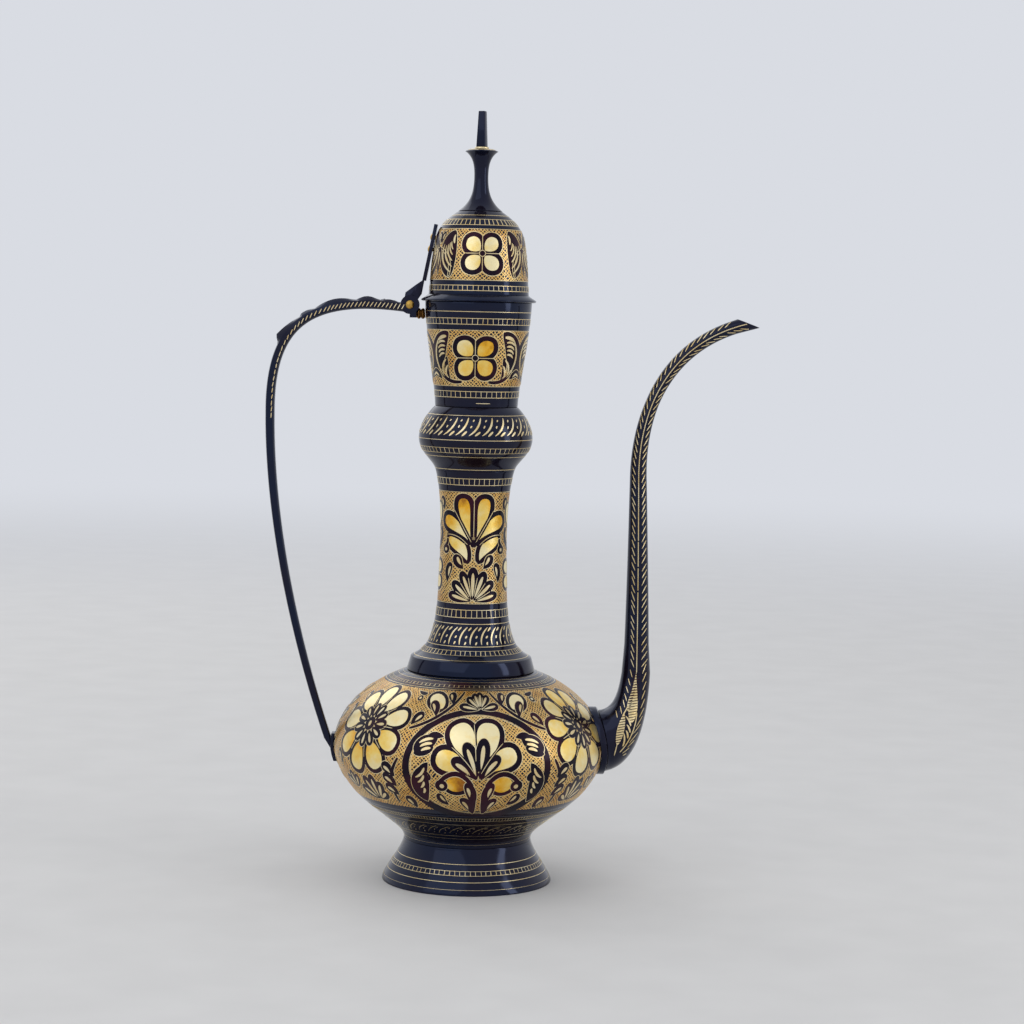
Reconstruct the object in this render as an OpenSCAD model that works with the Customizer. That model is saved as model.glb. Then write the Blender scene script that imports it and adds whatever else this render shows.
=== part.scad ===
// Long-necked brass ewer with a hinged lid, an S-shaped spout and a bow handle.
// Millimetres. The origin is the centre of the foot's rim, +Z up, the spout towards +X.

/* [Foot] */
// Radius of the foot's rim
foot_r = 43; // [38:0.5:50]
// Height of the foot, from its rim to the waist
foot_h = 21.5; // [17:0.5:28]
// Radius of the waist, where the foot meets the body
waist_r = 32.2; // [28:0.1:35]
// Length of the spigot that centres the body in the foot
spigot_h = 3; // [2:0.5:5]

/* [Body] */
// Thickness of the spun brass sheet
wall = 1.5; // [1.2:0.1:2]
// Radius of the seam between the base and the bowl
seam_r = 53.9; // [48:0.1:58]
// Height of the base, from the waist to the seam
base_h = 20.5; // [17:0.5:26]
// Largest radius of the bowl
belly_r = 68.2; // [63:0.1:75]
// Height from the seam to the widest place
belly_h = 25.5; // [21:0.5:32]
// Height that the shoulder's ellipse would reach above the widest place
shoulder_h = 44.5; // [39:0.5:50]

/* [Neck] */
// Radius of the collar where it sits on the shoulder
collar_r = 32.2; // [29:0.1:35]
// Radius of the collar's upper edge
collar_top_r = 30.2; // [28.5:0.1:33]
// Height of the collar
collar_h = 7.1; // [5:0.1:10]
// Smallest radius of the neck
neck_r = 16.8; // [15:0.1:18]
// Height from the collar to the narrowest place
neck_low_h = 61.2; // [50:0.2:72]
// Height from the narrowest place to the bulge's seam
neck_top_h = 32.2; // [26:0.2:38]
// Radius at the bulge's lower seam
bulge_foot_r = 20; // [19:0.1:21]
// Largest radius of the bulge
bulge_r = 28.7; // [26:0.1:32]
// Height from the bulge's lower seam to its widest place
bulge_low_h = 15.8; // [13:0.2:19]
// Height from the bulge's widest place to the throat
bulge_top_h = 16.2; // [13:0.2:19]
// Radius of the throat, between the bulge and the mouth
throat_r = 20.9; // [19.5:0.1:22]
// Radius of the mouth's rim
mouth_r = 26.9; // [25.5:0.1:29]
// Height of the mouth, from the throat to the rim
mouth_h = 51.8; // [46:0.2:58]

/* [Lid] */
// How far the lid's rim stands out past the mouth
rim_out = 2; // [1:0.1:3]
// Height of the lid's rim
rim_h = 3.5; // [3:0.1:5]
// Radius of the dome's lower edge
dome_r = 25.2; // [24.2:0.1:26.4]
// Height of the dome's wall
dome_wall_h = 27.3; // [23:0.1:32]
// Radius where the wall turns into the cap
dome_cap_r = 22.3; // [21:0.1:23.6]
// Height of the dome's cap
dome_cap_h = 14.2; // [11:0.1:17]
// Radius of the flat that carries the finial
dome_top_r = 11; // [9:0.1:13]
// Depth of the skirt below the mouth's rim
skirt_h = 6; // [4:0.5:9]
// Thickness of the skirt
skirt_t = 1.2; // [1:0.1:1.5]
// Room between the skirt and the mouth
skirt_gap = 0.5; // [0.4:0.05:0.8]

/* [Finial] */
// Radius of the stem's thinnest place
stem_r = 3.5; // [3:0.1:4.5]
// Height from the dome to the stem's thinnest place
stem_low_h = 17; // [14:0.5:21]
// Height from the thinnest place to the disc
stem_top_h = 12.5; // [10:0.5:16]
// Radius of the disc on the stem
disc_r = 8.3; // [7:0.1:10]
// Thickness of the disc's edge
disc_t = 1; // [0.6:0.1:2]
// Radius of the washer under the spike
washer_r = 3.5; // [3.2:0.1:5]
// Thickness of the washer
washer_t = 1.2; // [0.8:0.1:2]
// Width of the square spike at its foot
spike_foot_w = 4.6; // [4.2:0.1:6]
// Width of the spike at its top
spike_top_w = 3.3; // [3:0.1:4.2]
// Height of the spike
spike_h = 17.7; // [13:0.1:23]
// How far the spike's faces are turned about its axis, in degrees
spike_turn = 25; // [0:1:45]
// Radius of the rod that holds the finial down
rod_r = 1.3; // [1:0.1:1.5]
// Depth of the rod in the spike
rod_grip = 6; // [4:0.5:8]
// Width of the nut across its flats
nut_w = 5.5; // [5:0.1:7]
// Thickness of the nut
nut_t = 2.4; // [2:0.1:3]
// Length of the rod's end below the nut
rod_tail = 1.2; // [0.5:0.1:2]

/* [Hinge] */
// Radius of the hinge pin
pin_r = 1.3; // [1.1:0.05:1.5]
// How far the pin's axis lies outside the mouth's rim
pin_out = 7.2; // [6.8:0.1:9]
// How far the pin's axis lies below the mouth's rim
pin_drop = 2; // [1.5:0.1:3]
// Radius of the handle's ear around the pin
ear_r = 4.7; // [4.4:0.1:5.2]
// Thickness of each cheek of the handle's fork
cheek_w = 1.8; // [1.5:0.1:2.4]
// Radius of the strap's eye around the pin
eye_r = 3.3; // [2.8:0.1:3.6]
// Thickness of the strap's tongue between the cheeks
tongue_w = 2.4; // [2:0.1:3]
// Room on each side of the tongue
tongue_gap = 0.3; // [0.2:0.05:0.5]
// Running clearance between the pin and the eye
pin_gap = 0.05; // [0.03:0.01:0.1]
// Radius of the pin's domed heads
pin_head_r = 2.2; // [1.8:0.1:2.8]
// Height of the pin's domed heads
pin_head_h = 1.1; // [0.8:0.1:1.6]
// Thickness of the strap's leaf
strap_t = 1.8; // [1.4:0.1:2.2]
// Width of the strap's leaf
strap_w = 8; // [6:0.5:10]
// Height above the mouth's rim where the leaf lies on the dome
strap_seat = 28.5; // [26:0.5:31]
// Length of the leaf below its seat
strap_low = 19; // [17:0.5:20]
// Length of the leaf above its seat
strap_high = 9.5; // [6:0.5:12]
// Lean of the leaf towards the lid, in degrees
strap_lean = 11; // [10:0.5:12]
// Radius of the strap's rivets
rivet_r = 1; // [0.8:0.1:1.3]
// Distance between the strap's rivets
rivet_step = 6; // [5:0.5:8]

/* [Handle] */
// How far the bow stands out from the axis, at its middle line
handle_reach = 103.1; // [96:0.1:112]
// How far the widest place lies below the pin
handle_drop = 54; // [46:0.5:62]
// Width of the bow at the hinge
handle_w = 4.6; // [4:0.1:5.6]
// Width of the bow at its lower end
handle_end_w = 3.6; // [3:0.1:4.4]
// Height on the body where the bow ends
handle_foot_z = 66; // [62:0.5:72]
// Thickness of the foot plate on the body
plate_t = 1.8; // [1.4:0.1:2.6]
// Width of the foot plate
plate_w = 8; // [7.2:0.1:10]
// Height of the foot plate
plate_h = 14; // [12:0.5:18]
// Height of the crest's tallest scallop
scallop_h = 1.8; // [1:0.1:2.4]
// Height of the thorn at the end of the crest
thorn_h = 2.8; // [1.5:0.1:4]
// Radius of the ferrule between the fork and the mouth
ferrule_r = 2.1; // [1.7:0.1:2.4]
// Radius of the two beads on the ferrule
bead_r = 2.7; // [2.3:0.1:3.1]

/* [Spout] */
// Height of the spout's root on the body
spout_z = 72; // [68:0.5:76]
// Radius of the flange on the body
flange_r = 17; // [16:0.1:19]
// Thickness of the flange
flange_t = 3; // [2:0.1:4]
// Outer radius of the spout at its root
root_r = 15.4; // [14:0.1:15.6]
// Outer radius of the spout where its straight riser starts
riser_r = 7.2; // [6:0.1:8.4]
// Outer radius of the spout where it starts to bend outwards
bend_r = 4.3; // [3.8:0.1:5]
// Outer radius of the spout near its tip
tip_r = 3.4; // [3:0.1:4]
// Thickness of the spout's wall
spout_wall = 1.1; // [0.8:0.1:1.4]
// Radius of the hole in the bowl behind the spout
spout_hole_r = 11; // [8:0.5:12.5]
// Distance of the riser's foot outside the belly
riser_out = 15; // [12:0.5:20]
// Height of the riser's foot above the root
riser_foot = 35; // [31:0.5:41]
// Length of the straight riser
riser_h = 96; // [85:1:110]
// Height from the riser to the tip
tip_h = 80.4; // [72:0.2:90]
// How far the tip reaches out past the riser
tip_reach = 53; // [45:0.5:62]
// Angle of the slanted cut at the tip, below level, in degrees
tip_cut = 20; // [15:1:30]

/* [Hidden] */
$fn = 128;

lacquer = "#1d1b24";
brass = "#c8a04a";

// Clearance of a spigot, rivet or rod in its hole
fit_gap = 0.05;
// Room left for the braze under a piece that is cut to a curved surface
braze_gap = 0.04;
// Room left for the braze under the end of a sweep, whose sides are flat
sweep_gap = 0.15;
// How far a cut runs past the faces that it opens
cut_over = 1;
// Thickness of the neck's spigots, and how far they root into the piece below
spigot_t = 1.2;
spigot_root = 0.5;

// Heights of the seams, from the foot up
waist_z = foot_h;
seam_z = waist_z + base_h;
belly_z = seam_z + belly_h;
collar_z = belly_z + shoulder_h * sqrt(1 - pow(collar_r / belly_r, 2));
neck_z = collar_z + collar_h;
narrow_z = neck_z + neck_low_h;
bulge_z = narrow_z + neck_top_h;
bulge_mid_z = bulge_z + bulge_low_h;
throat_z = bulge_mid_z + bulge_top_h;
mouth_z = throat_z + mouth_h;
dome_z = mouth_z + rim_h;
dome_cap_z = dome_z + dome_wall_h;
dome_top_z = dome_cap_z + dome_cap_h;
stem_mid_z = dome_top_z + stem_low_h;
disc_z = stem_mid_z + stem_top_h;
washer_z = disc_z + disc_t;
spike_z = washer_z + washer_t;

// Points on curves, as [radius, height] or [x, z]
function bezier(p, t) =
    let (u = 1 - t)
    u * u * u * p[0] + 3 * u * u * t * p[1] + 3 * u * t * t * p[2] + t * t * t * p[3];
function curve(p, steps) = [for (i = [0:steps]) bezier(p, i / steps)];
function tail(list) = [for (i = [1:len(list) - 1]) list[i]];
function reversed(list) = [for (i = [len(list) - 1:-1:0]) list[i]];
function last(list) = list[len(list) - 1];
function direction(list, i) =
    let (d = list[min(i + 1, len(list) - 1)] - list[max(i - 1, 0)])
    d / norm(d);

// An outline moved out along its normals, and the inner face of a wall of even thickness
function grown(list, by) =
    [for (i = [0:len(list) - 1]) let (d = direction(list, i)) list[i] + by * [d.y, -d.x]];
function lined(list, t) =
    [for (i = [0:len(list) - 1]) list[i] - [t / abs(direction(list, i).y), 0]];
function radius_at(list, z) = lookup(z, [for (p = list) [p.y, p.x]]);

// Points of a curve that leaves its start and meets its end along the pulls given
function drawn(start, start_pull, end_pull, end, steps) =
    curve([start, start + start_pull, end - end_pull, end], steps);

// Pulls at the seams of the turned profiles, as [outwards, upwards], from the foot up
foot_rim_pull = [0, 4.3];
foot_waist_pull = [-1, 7.1];
base_waist_pull = [0, 5.5];
base_seam_pull = [12.2, 10.4];
bowl_seam_pull = [5.8, 4.9];
belly_pull = [0, 9];
neck_foot_pull = [-10.2, 4.7];
neck_low_pull = [-0.1, 49];
neck_high_pull = [0, 15];
neck_top_pull = [1.8, 6.2];
bulge_foot_pull = [1, 4.3];
bulge_low_pull = [0.2, 7.5];
bulge_high_pull = [0, 6];
bulge_throat_pull = [-4.3, 4.2];
mouth_throat_pull = [0.4, 12.8];
mouth_rim_pull = [0.5, 16];
dome_foot_pull = [-0.8, 9.5];
dome_wall_pull = [-2.1, 10.8];
dome_cap_pull = [-1.3, 6.7];
dome_top_pull = [-6, 4];
stem_foot_pull = [-5, 3.8];
stem_low_pull = [0, 9];
stem_high_pull = [0, 6];
stem_disc_pull = [3.9, 2.5];

// Outer profiles of the turned pieces, from the bottom up
foot_line = drawn([foot_r, 0], foot_rim_pull, foot_waist_pull, [waist_r, waist_z], 14);
base_line = drawn([waist_r, waist_z], base_waist_pull, base_seam_pull, [seam_r, seam_z], 14);
belly_line = drawn([seam_r, seam_z], bowl_seam_pull, belly_pull, [belly_r, belly_z], 12);
shoulder_turn = acos(collar_r / belly_r);
shoulder_steps = 18;
shoulder_line = [for (i = [0:shoulder_steps]) let (a = shoulder_turn * i / shoulder_steps)
                 [belly_r * cos(a), belly_z + shoulder_h * sin(a)]];
bowl_line = concat(belly_line, tail(shoulder_line));
body_line = concat(base_line, tail(bowl_line));
neck_line = concat(
    drawn([collar_top_r, neck_z], neck_foot_pull, neck_low_pull, [neck_r, narrow_z], 18),
    tail(drawn([neck_r, narrow_z], neck_high_pull, neck_top_pull, [bulge_foot_r, bulge_z], 12)));
bulge_line = concat(
    drawn([bulge_foot_r, bulge_z], bulge_foot_pull, bulge_low_pull, [bulge_r, bulge_mid_z], 12),
    tail(drawn([bulge_r, bulge_mid_z], bulge_high_pull, bulge_throat_pull, [throat_r, throat_z], 12)));
mouth_line = drawn([throat_r, throat_z], mouth_throat_pull, mouth_rim_pull, [mouth_r, mouth_z], 16);
dome_line = concat(
    drawn([dome_r, dome_z], dome_foot_pull, dome_wall_pull, [dome_cap_r, dome_cap_z], 12),
    tail(drawn([dome_cap_r, dome_cap_z], dome_cap_pull, dome_top_pull, [dome_top_r, dome_top_z], 14)));
stem_line = concat(
    drawn([dome_top_r, dome_top_z], stem_foot_pull, stem_low_pull, [stem_r, stem_mid_z], 16),
    tail(drawn([stem_r, stem_mid_z], stem_high_pull, stem_disc_pull, [disc_r, disc_z], 12)));

// Turned shells and solids
module turned(list) {
    rotate_extrude()
        polygon(list);
}
module turned_solid(list) {
    turned(concat([[0, list[0].y]], list, [[0, last(list).y]]));
}
module turned_shell(list) {
    turned(concat(list, reversed(lined(list, wall))));
}
module ring(inner_r, outer_r, z_low, z_high) {
    turned([[inner_r, z_low], [outer_r, z_low], [outer_r, z_high], [inner_r, z_high]]);
}

// Foot and body
module foot() {
    color(lacquer)
        turned_shell(foot_line);
}

module body_base() {
    spigot_r = waist_r - wall - fit_gap;
    floor_z = waist_z + wall;
    inside = [for (p = reversed(lined(base_line, wall))) if (p.y > floor_z) p];
    color(lacquer)
        turned(concat([[0, waist_z], [spigot_r - wall, waist_z], [spigot_r - wall, waist_z - spigot_h],
                       [spigot_r, waist_z - spigot_h], [spigot_r, waist_z]],
                      base_line, inside, [[last(inside).x, floor_z], [0, floor_z]]));
}

module body_bowl() {
    color(lacquer)
        difference() {
            turned_shell(bowl_line);
            translate([belly_r / 2, 0, spout_z])
                rotate([0, 90, 0])
                    cylinder(r = spout_hole_r, h = belly_r);
        }
}

// Neck
collar_bore_r = last(lined(bowl_line, wall)).x - fit_gap - wall;

module neck_collar() {
    spigot_r = collar_bore_r + wall;
    color(lacquer)
        turned([[collar_bore_r, collar_z - spigot_h], [spigot_r, collar_z - spigot_h], [spigot_r, collar_z],
                [collar_r, collar_z], [collar_top_r, neck_z], [collar_bore_r, neck_z]]);
}

// A spigot at the top of a turned piece, which centres the piece whose profile is given
module top_spigot(line_above) {
    outer_r = lined(line_above, wall)[0].x - fit_gap;
    inner_r = outer_r - spigot_t;
    ring(inner_r, outer_r, line_above[0].y - spigot_root, line_above[0].y + spigot_h);
}

module neck_tube() {
    color(lacquer)
        union() {
            turned_shell(neck_line);
            top_spigot(bulge_line);
        }
}

module neck_bulge() {
    color(lacquer)
        union() {
            turned_shell(bulge_line);
            top_spigot(mouth_line);
        }
}

module neck_mouth() {
    color(lacquer)
        turned_shell(mouth_line);
}

// Spout, swept along its outlines in the plane y = 0, from the flange to the tip
spout_seat = grown(body_line, flange_t + sweep_gap);
function on_seat(z) = [radius_at(spout_seat, z), z];
// How far the riser leans back towards the body
riser_lean = 1.3;
spout_knee = [belly_r + riser_out, spout_z + riser_foot];
spout_bend = spout_knee + [-riser_lean, riser_h];
spout_tip = spout_bend + [tip_reach, tip_h];
// Pulls at the ends of the spout's curves, as [outwards, upwards]
over_seat_pull = [7.5, 0.5];
over_knee_pull = [1.4, 10.5];
under_seat_pull = [13, 2.5];
under_knee_pull = [0.7, 32];
riser_knee_pull = [0, 30];
riser_bend_pull = [-0.7, 33];
neb_bend_pull = [-1.4, 39];
neb_tip_pull = [38, 9.4];
// The root's upper and lower outlines, which leave the body apart and meet the riser's two sides
root_top = on_seat(spout_z + root_r);
root_bottom = on_seat(spout_z - root_r);
root_steps = 12;
root_over = drawn(root_top, over_seat_pull, over_knee_pull, spout_knee - [riser_r, 0], root_steps);
root_under = drawn(root_bottom, under_seat_pull, under_knee_pull, spout_knee + [riser_r, 0], root_steps);
// The middle line of the riser and the bend, and its outer radius by height
riser_path = concat(
    drawn(spout_knee, riser_knee_pull, riser_bend_pull, spout_bend, 8),
    tail(drawn(spout_bend, neb_bend_pull, neb_tip_pull, spout_tip, 20)));
riser_radii = [[spout_knee.y, riser_r],
               [spout_knee.y + riser_h * 0.15, riser_r - (riser_r - bend_r) * 0.35],
               [spout_knee.y + riser_h * 0.6, riser_r - (riser_r - bend_r) * 0.7],
               [spout_bend.y, bend_r],
               [spout_bend.y + tip_h * 0.5, tip_r],
               [spout_tip.y, tip_r]];
// Each hoop of the sweep, as its upper and lower points
spout_hoops = concat(
    [for (i = [0:root_steps]) [root_over[i], root_under[i]]],
    [for (i = [1:len(riser_path) - 1])
     let (c = riser_path[i], d = direction(riser_path, i), side = lookup(c.y, riser_radii) * [-d.y, d.x])
     [c + side, c - side]]);
spout_sides = 20;

// The points of one hoop, made thinner by a wall
function hoop_points(hoop, thinner) =
    let (c = (hoop[0] + hoop[1]) / 2, half = norm(hoop[0] - hoop[1]) / 2, r = half - thinner,
         n = (hoop[0] - c) / half)
    [for (k = [0:spout_sides - 1]) let (a = 360 * k / spout_sides)
     [c.x + n.x * r * cos(a), r * sin(a), c.y + n.y * r * cos(a)]];
// The first hoop pushed along X onto the flange, and the next ones kept clear of it
function off_seat(points, gap) =
    [for (p = points)
     let (seat_x = sqrt(pow(radius_at(spout_seat, p.z), 2) - p.y * p.y))
     [gap == 0 ? seat_x : max(p.x, seat_x + gap), p.y, p.z]];
// The tip's hoop, pushed along the path onto the slanted cut
function cut_points(points, c, d) =
    let (n = [sin(tip_cut), cos(tip_cut)])
    [for (p = points)
     let (run = ((c - [p.x, p.z]) * n) / (d * n))
     [p.x + run * d.x, p.y, p.z + run * d.y]];

module spout_tube() {
    count = len(spout_hoops);
    end = count - 1;
    clear_step = 0.4;
    function skin(thinner) =
        [for (i = [0:end])
         let (points = hoop_points(spout_hoops[i], thinner))
         i == end ? cut_points(points, spout_tip, direction(riser_path, len(riser_path) - 1))
         : i > root_steps / 2 ? points : off_seat(points, clear_step * i)];
    n = spout_sides;
    function at(i, k) = i * n + k % n;
    outside = [for (i = [0:end - 1]) for (k = [0:n - 1])
               [at(i, k), at(i + 1, k), at(i + 1, k + 1), at(i, k + 1)]];
    bore = [for (i = [count:count + end - 1]) for (k = [0:n - 1])
            [at(i, k + 1), at(i + 1, k + 1), at(i + 1, k), at(i, k)]];
    root_face = [for (k = [0:n - 1]) [at(0, k + 1), at(count, k + 1), at(count, k), at(0, k)]];
    tip_face = [for (k = [0:n - 1])
                [at(end, k), at(count + end, k), at(count + end, k + 1), at(end, k + 1)]];
    color(lacquer)
        polyhedron([for (points = concat(skin(0), skin(spout_wall))) each points],
                   concat(outside, bore, root_face, tip_face));
}

module spout_flange() {
    color(lacquer)
        difference() {
            intersection() {
                translate([belly_r / 2, 0, spout_z])
                    rotate([0, 90, 0])
                        cylinder(r = flange_r, h = belly_r);
                turned_solid(grown(body_line, flange_t));
            }
            turned_solid(grown(body_line, braze_gap));
            translate([belly_r / 2 - cut_over, 0, spout_z])
                rotate([0, 90, 0])
                    cylinder(r = root_r - spout_wall, h = belly_r + 2 * cut_over);
        }
}

// Hinge
pin_x = -mouth_r - pin_out;
pin_z = mouth_z - pin_drop;
fork_gap = tongue_w + 2 * tongue_gap;
fork_w = fork_gap + 2 * cheek_w;
// Steps in the outline of a domed head or a bead
dome_steps = 8;

// Turns and moves a shape drawn in X and Y into X and Z, centred on y = 0
module upright(w) {
    rotate([90, 0, 0])
        linear_extrude(w, center = true)
            children();
}
// A cylinder along Y through a point in X and Z
module cross_bar(x, z, r, w) {
    translate([x, 0, z])
        rotate([90, 0, 0])
            cylinder(r = r, h = w, center = true);
}

module hinge_pin() {
    cap_r = (pow(pin_head_r, 2) + pow(pin_head_h, 2)) / (2 * pin_head_h);
    head = [for (i = [0:dome_steps]) let (a = asin(pin_head_r / cap_r) * (1 - i / dome_steps))
            [cap_r * sin(a), fork_w / 2 + pin_head_h - cap_r + cap_r * cos(a)]];
    half = concat([[pin_r, 0], [pin_r, fork_w / 2]], head);
    color(brass)
        translate([pin_x, 0, pin_z])
            rotate([90, 0, 0])
                union() {
                    turned(concat([[0, 0]], half));
                    mirror([0, 0, 1])
                        turned(concat([[0, 0]], half));
                }
}

// Handle
handle_turn = [-handle_reach, pin_z - handle_drop];
handle_foot = [-radius_at(grown(body_line, plate_t), handle_foot_z), handle_foot_z];
// Where the bow's middle line starts, from the pin
handle_start = [pin_x, pin_z] - [1.5, 1.5];
// Pulls at the ends of the bow's two curves, as [x, z]
bow_start_pull = [-51, 6];
bow_turn_pull = [0.4, -41.5];
bow_drop_pull = [0, -50];
bow_foot_pull = [20.5, -57];
bow_steps = 64;
drop_steps = 36;
handle_path = concat(
    drawn(handle_start, bow_start_pull, bow_turn_pull, handle_turn, bow_steps),
    tail(drawn(handle_turn, bow_drop_pull, bow_foot_pull, handle_foot, drop_steps)));
// The crest: scallops by their distance from the pin, then a thorn by its depth below the pin
scallop_ends = [6, 15.5, 27, 46.5, 56];
scallop_shares = [0.65, 1, 0.95, 0.55];
thorn_start = 9;
thorn_peak = 19;
thorn_end = 21.5;
function scallop(out) =
    max([for (i = [0:len(scallop_shares) - 1])
         let (share = (out - scallop_ends[i]) / (scallop_ends[i + 1] - scallop_ends[i]))
         share > 0 && share < 1 ? scallop_h * scallop_shares[i] * sin(180 * share) : 0]);
function thorn(down) = lookup(down, [[thorn_start, 0], [thorn_peak, thorn_h], [thorn_end, 0]]);
function crest(p) =
    pin_z - p.y < thorn_start ? scallop(pin_x - p.x) : thorn(pin_z - p.y);

// Corners of the bow's section, as shares of its bevel or half thickness
crest_flat = 0.25;
inner_flat = 0.5;
bevel_share = 0.55;
outer_bevel = 0.4;
inner_bevel = 0.6;
// How much thicker than wide the bow is at its lower end
end_extra = 1;

module handle_sweep() {
    count = len(handle_path);
    seat_line = grown(body_line, plate_t + sweep_gap);
    // Across the bow: outwards, then through its thickness, with bevelled corners
    function section(i) =
        let (c = handle_path[i], d = direction(handle_path, i), out = [d.y, -d.x],
             share = max(0, (i - bow_steps) / drop_steps),
             w = (handle_w + (handle_end_w - handle_w) * share) / 2,
             t = (fork_w + (handle_end_w + end_extra - fork_w) * share) / 2,
             top = w + crest(c), bevel = w * bevel_share,
             high = w - bevel * outer_bevel, low = bevel * inner_bevel - w)
        [for (q = [[top, crest_flat * t], [high, t], [low, t], [-w, inner_flat * t],
                   [-w, -inner_flat * t], [low, -t], [high, -t], [top, -crest_flat * t]])
         [c.x + q.x * out.x, q.y, c.y + q.x * out.y]];
    function seated(points) =
        [for (p = points) [-sqrt(pow(radius_at(seat_line, p.z), 2) - p.y * p.y), p.y, p.z]];
    rings = [for (i = [0:count - 1]) i == count - 1 ? seated(section(i)) : section(i)];
    n = len(rings[0]);
    function at(i, k) = i * n + k % n;
    sides = [for (i = [0:count - 2]) for (k = [0:n - 1])
             [at(i, k), at(i + 1, k), at(i + 1, k + 1), at(i, k + 1)]];
    start_face = [for (k = [0:n - 1]) k];
    foot_face = [for (k = [n - 1:-1:0]) at(count - 1, k)];
    polyhedron([for (points = rings) each points], concat(sides, [start_face, foot_face]));
}

// Start of the ferrule on the fork, from the pin
ferrule_x = pin_x + 3.2;
ferrule_z = pin_z - 4.3;

module handle_bow() {
    // Room around the strap's eye, and how far the fork's slot reaches behind the pin
    eye_room = eye_r + 0.5;
    slot_back = 12.5;
    tall = 6 * ear_r;
    color(lacquer)
        difference() {
            union() {
                handle_sweep();
                cross_bar(pin_x, pin_z, ear_r, fork_w);
                translate([pin_x, -fork_w / 2, ferrule_z - ferrule_r])
                    cube([ferrule_x - pin_x, fork_w, 2 * ferrule_r]);
            }
            translate([pin_x - slot_back, -fork_gap / 2, pin_z - tall / 2])
                cube([slot_back, fork_gap, tall]);
            translate([pin_x - cut_over, -fork_gap / 2, ferrule_z + ferrule_r])
                cube([3 * ear_r, fork_gap, tall]);
            cross_bar(pin_x, pin_z, eye_room, fork_gap);
            cross_bar(pin_x, pin_z, pin_r + fit_gap / 5, fork_w + 2 * cut_over);
            translate([ferrule_x, 0, ferrule_z])
                rotate([0, 90, 0])
                    cylinder(r = bead_r + 2 * fit_gap, h = 2 * ear_r);
        }
}

module handle_plate() {
    color(lacquer)
        difference() {
            intersection() {
                translate([-2 * belly_r, -plate_w / 2, handle_foot_z - plate_h / 2])
                    cube([2 * belly_r, plate_w, plate_h]);
                turned_solid(grown(body_line, plate_t));
            }
            turned_solid(grown(body_line, braze_gap));
        }
}

module handle_ferrule() {
    length = -ferrule_x - mouth_r / 2;
    reach = -ferrule_x - radius_at(mouth_line, ferrule_z);
    bead_w = 1.6;
    bead_shares = [0.3, 0.75];
    function bead(z) = [for (i = [0:dome_steps]) let (a = 180 * i / dome_steps)
                        [ferrule_r + (bead_r - ferrule_r) * sin(a), z - bead_w / 2 * cos(a)]];
    color(brass)
        difference() {
            translate([ferrule_x, 0, ferrule_z])
                rotate([0, 90, 0])
                    turned(concat([[0, 0], [ferrule_r, 0]],
                                  [for (share = bead_shares) each bead(reach * share)],
                                  [[ferrule_r, length], [0, length]]));
            turned_solid(grown(mouth_line, braze_gap));
        }
}

// Lid
skirt_r = radius_at(lined(mouth_line, wall), mouth_z - skirt_h) - skirt_gap;
// The ledge inside the rim, under which the skirt is soldered
ledge_z = mouth_z + rim_h * 0.55;
ledge_w = 0.6;
// The rim's rolled lip: how far it is drawn in below and above, and the heights of its edges
lip_in_low = 1;
lip_in_high = 0.4;
lip_low = 0.6;
lip_high = 1.2;
// The small cove between the lip and the dome
cove = 0.65;

module lid_rim() {
    bore_r = skirt_r + fit_gap;
    rim_r = mouth_r + rim_out;
    seat_r = lined(dome_line, wall)[0].x;
    color(lacquer)
        turned([[bore_r, mouth_z], [rim_r - lip_in_low, mouth_z], [rim_r, mouth_z + lip_low],
                [rim_r - lip_in_high, mouth_z + lip_high], [dome_r + cove, dome_z - cove],
                [dome_r, dome_z], [seat_r, dome_z],
                [min(seat_r, bore_r - ledge_w), ledge_z], [bore_r, ledge_z]]);
}

module lid_skirt() {
    color(brass)
        ring(skirt_r - skirt_t, skirt_r, mouth_z - skirt_h, ledge_z);
}

module lid_dome() {
    inside = [for (p = reversed(lined(dome_line, wall))) if (p.y < dome_top_z - wall) p];
    color(lacquer)
        difference() {
            turned(concat(dome_line, [[rod_r + fit_gap, dome_top_z], [rod_r + fit_gap, dome_top_z - wall],
                                      [inside[0].x, dome_top_z - wall]], inside));
            rivet_places()
                cylinder(r = rivet_r + fit_gap, h = 4 * wall + strap_t);
        }
}

// The strap's leaf leans on the dome, so its inner edge runs through the seat along the lean
strap_seat_z = mouth_z + strap_seat;
strap_seat_x = -radius_at(dome_line, strap_seat_z) - braze_gap;
strap_along = [sin(strap_lean), cos(strap_lean)];
strap_out = [-cos(strap_lean), sin(strap_lean)];
function strap_point(along, out) = [strap_seat_x, strap_seat_z] + along * strap_along + out * strap_out;

module rivet_places() {
    for (side = [-1, 1]) {
        p = strap_point(side * rivet_step / 2, strap_t);
        translate([p.x, 0, p.y])
            rotate([0, 90 + strap_lean, 0])
                children();
    }
}

// Corners of the strap's tongue, from the pin
tongue_front = [5.7, 5.4];
tongue_back = [2.8, 10];
tongue_heel = [-2.4, 6];
// Directions, in degrees above level, in which the tongue leaves its eye
eye_front = 25;
eye_back = 164;

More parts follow.
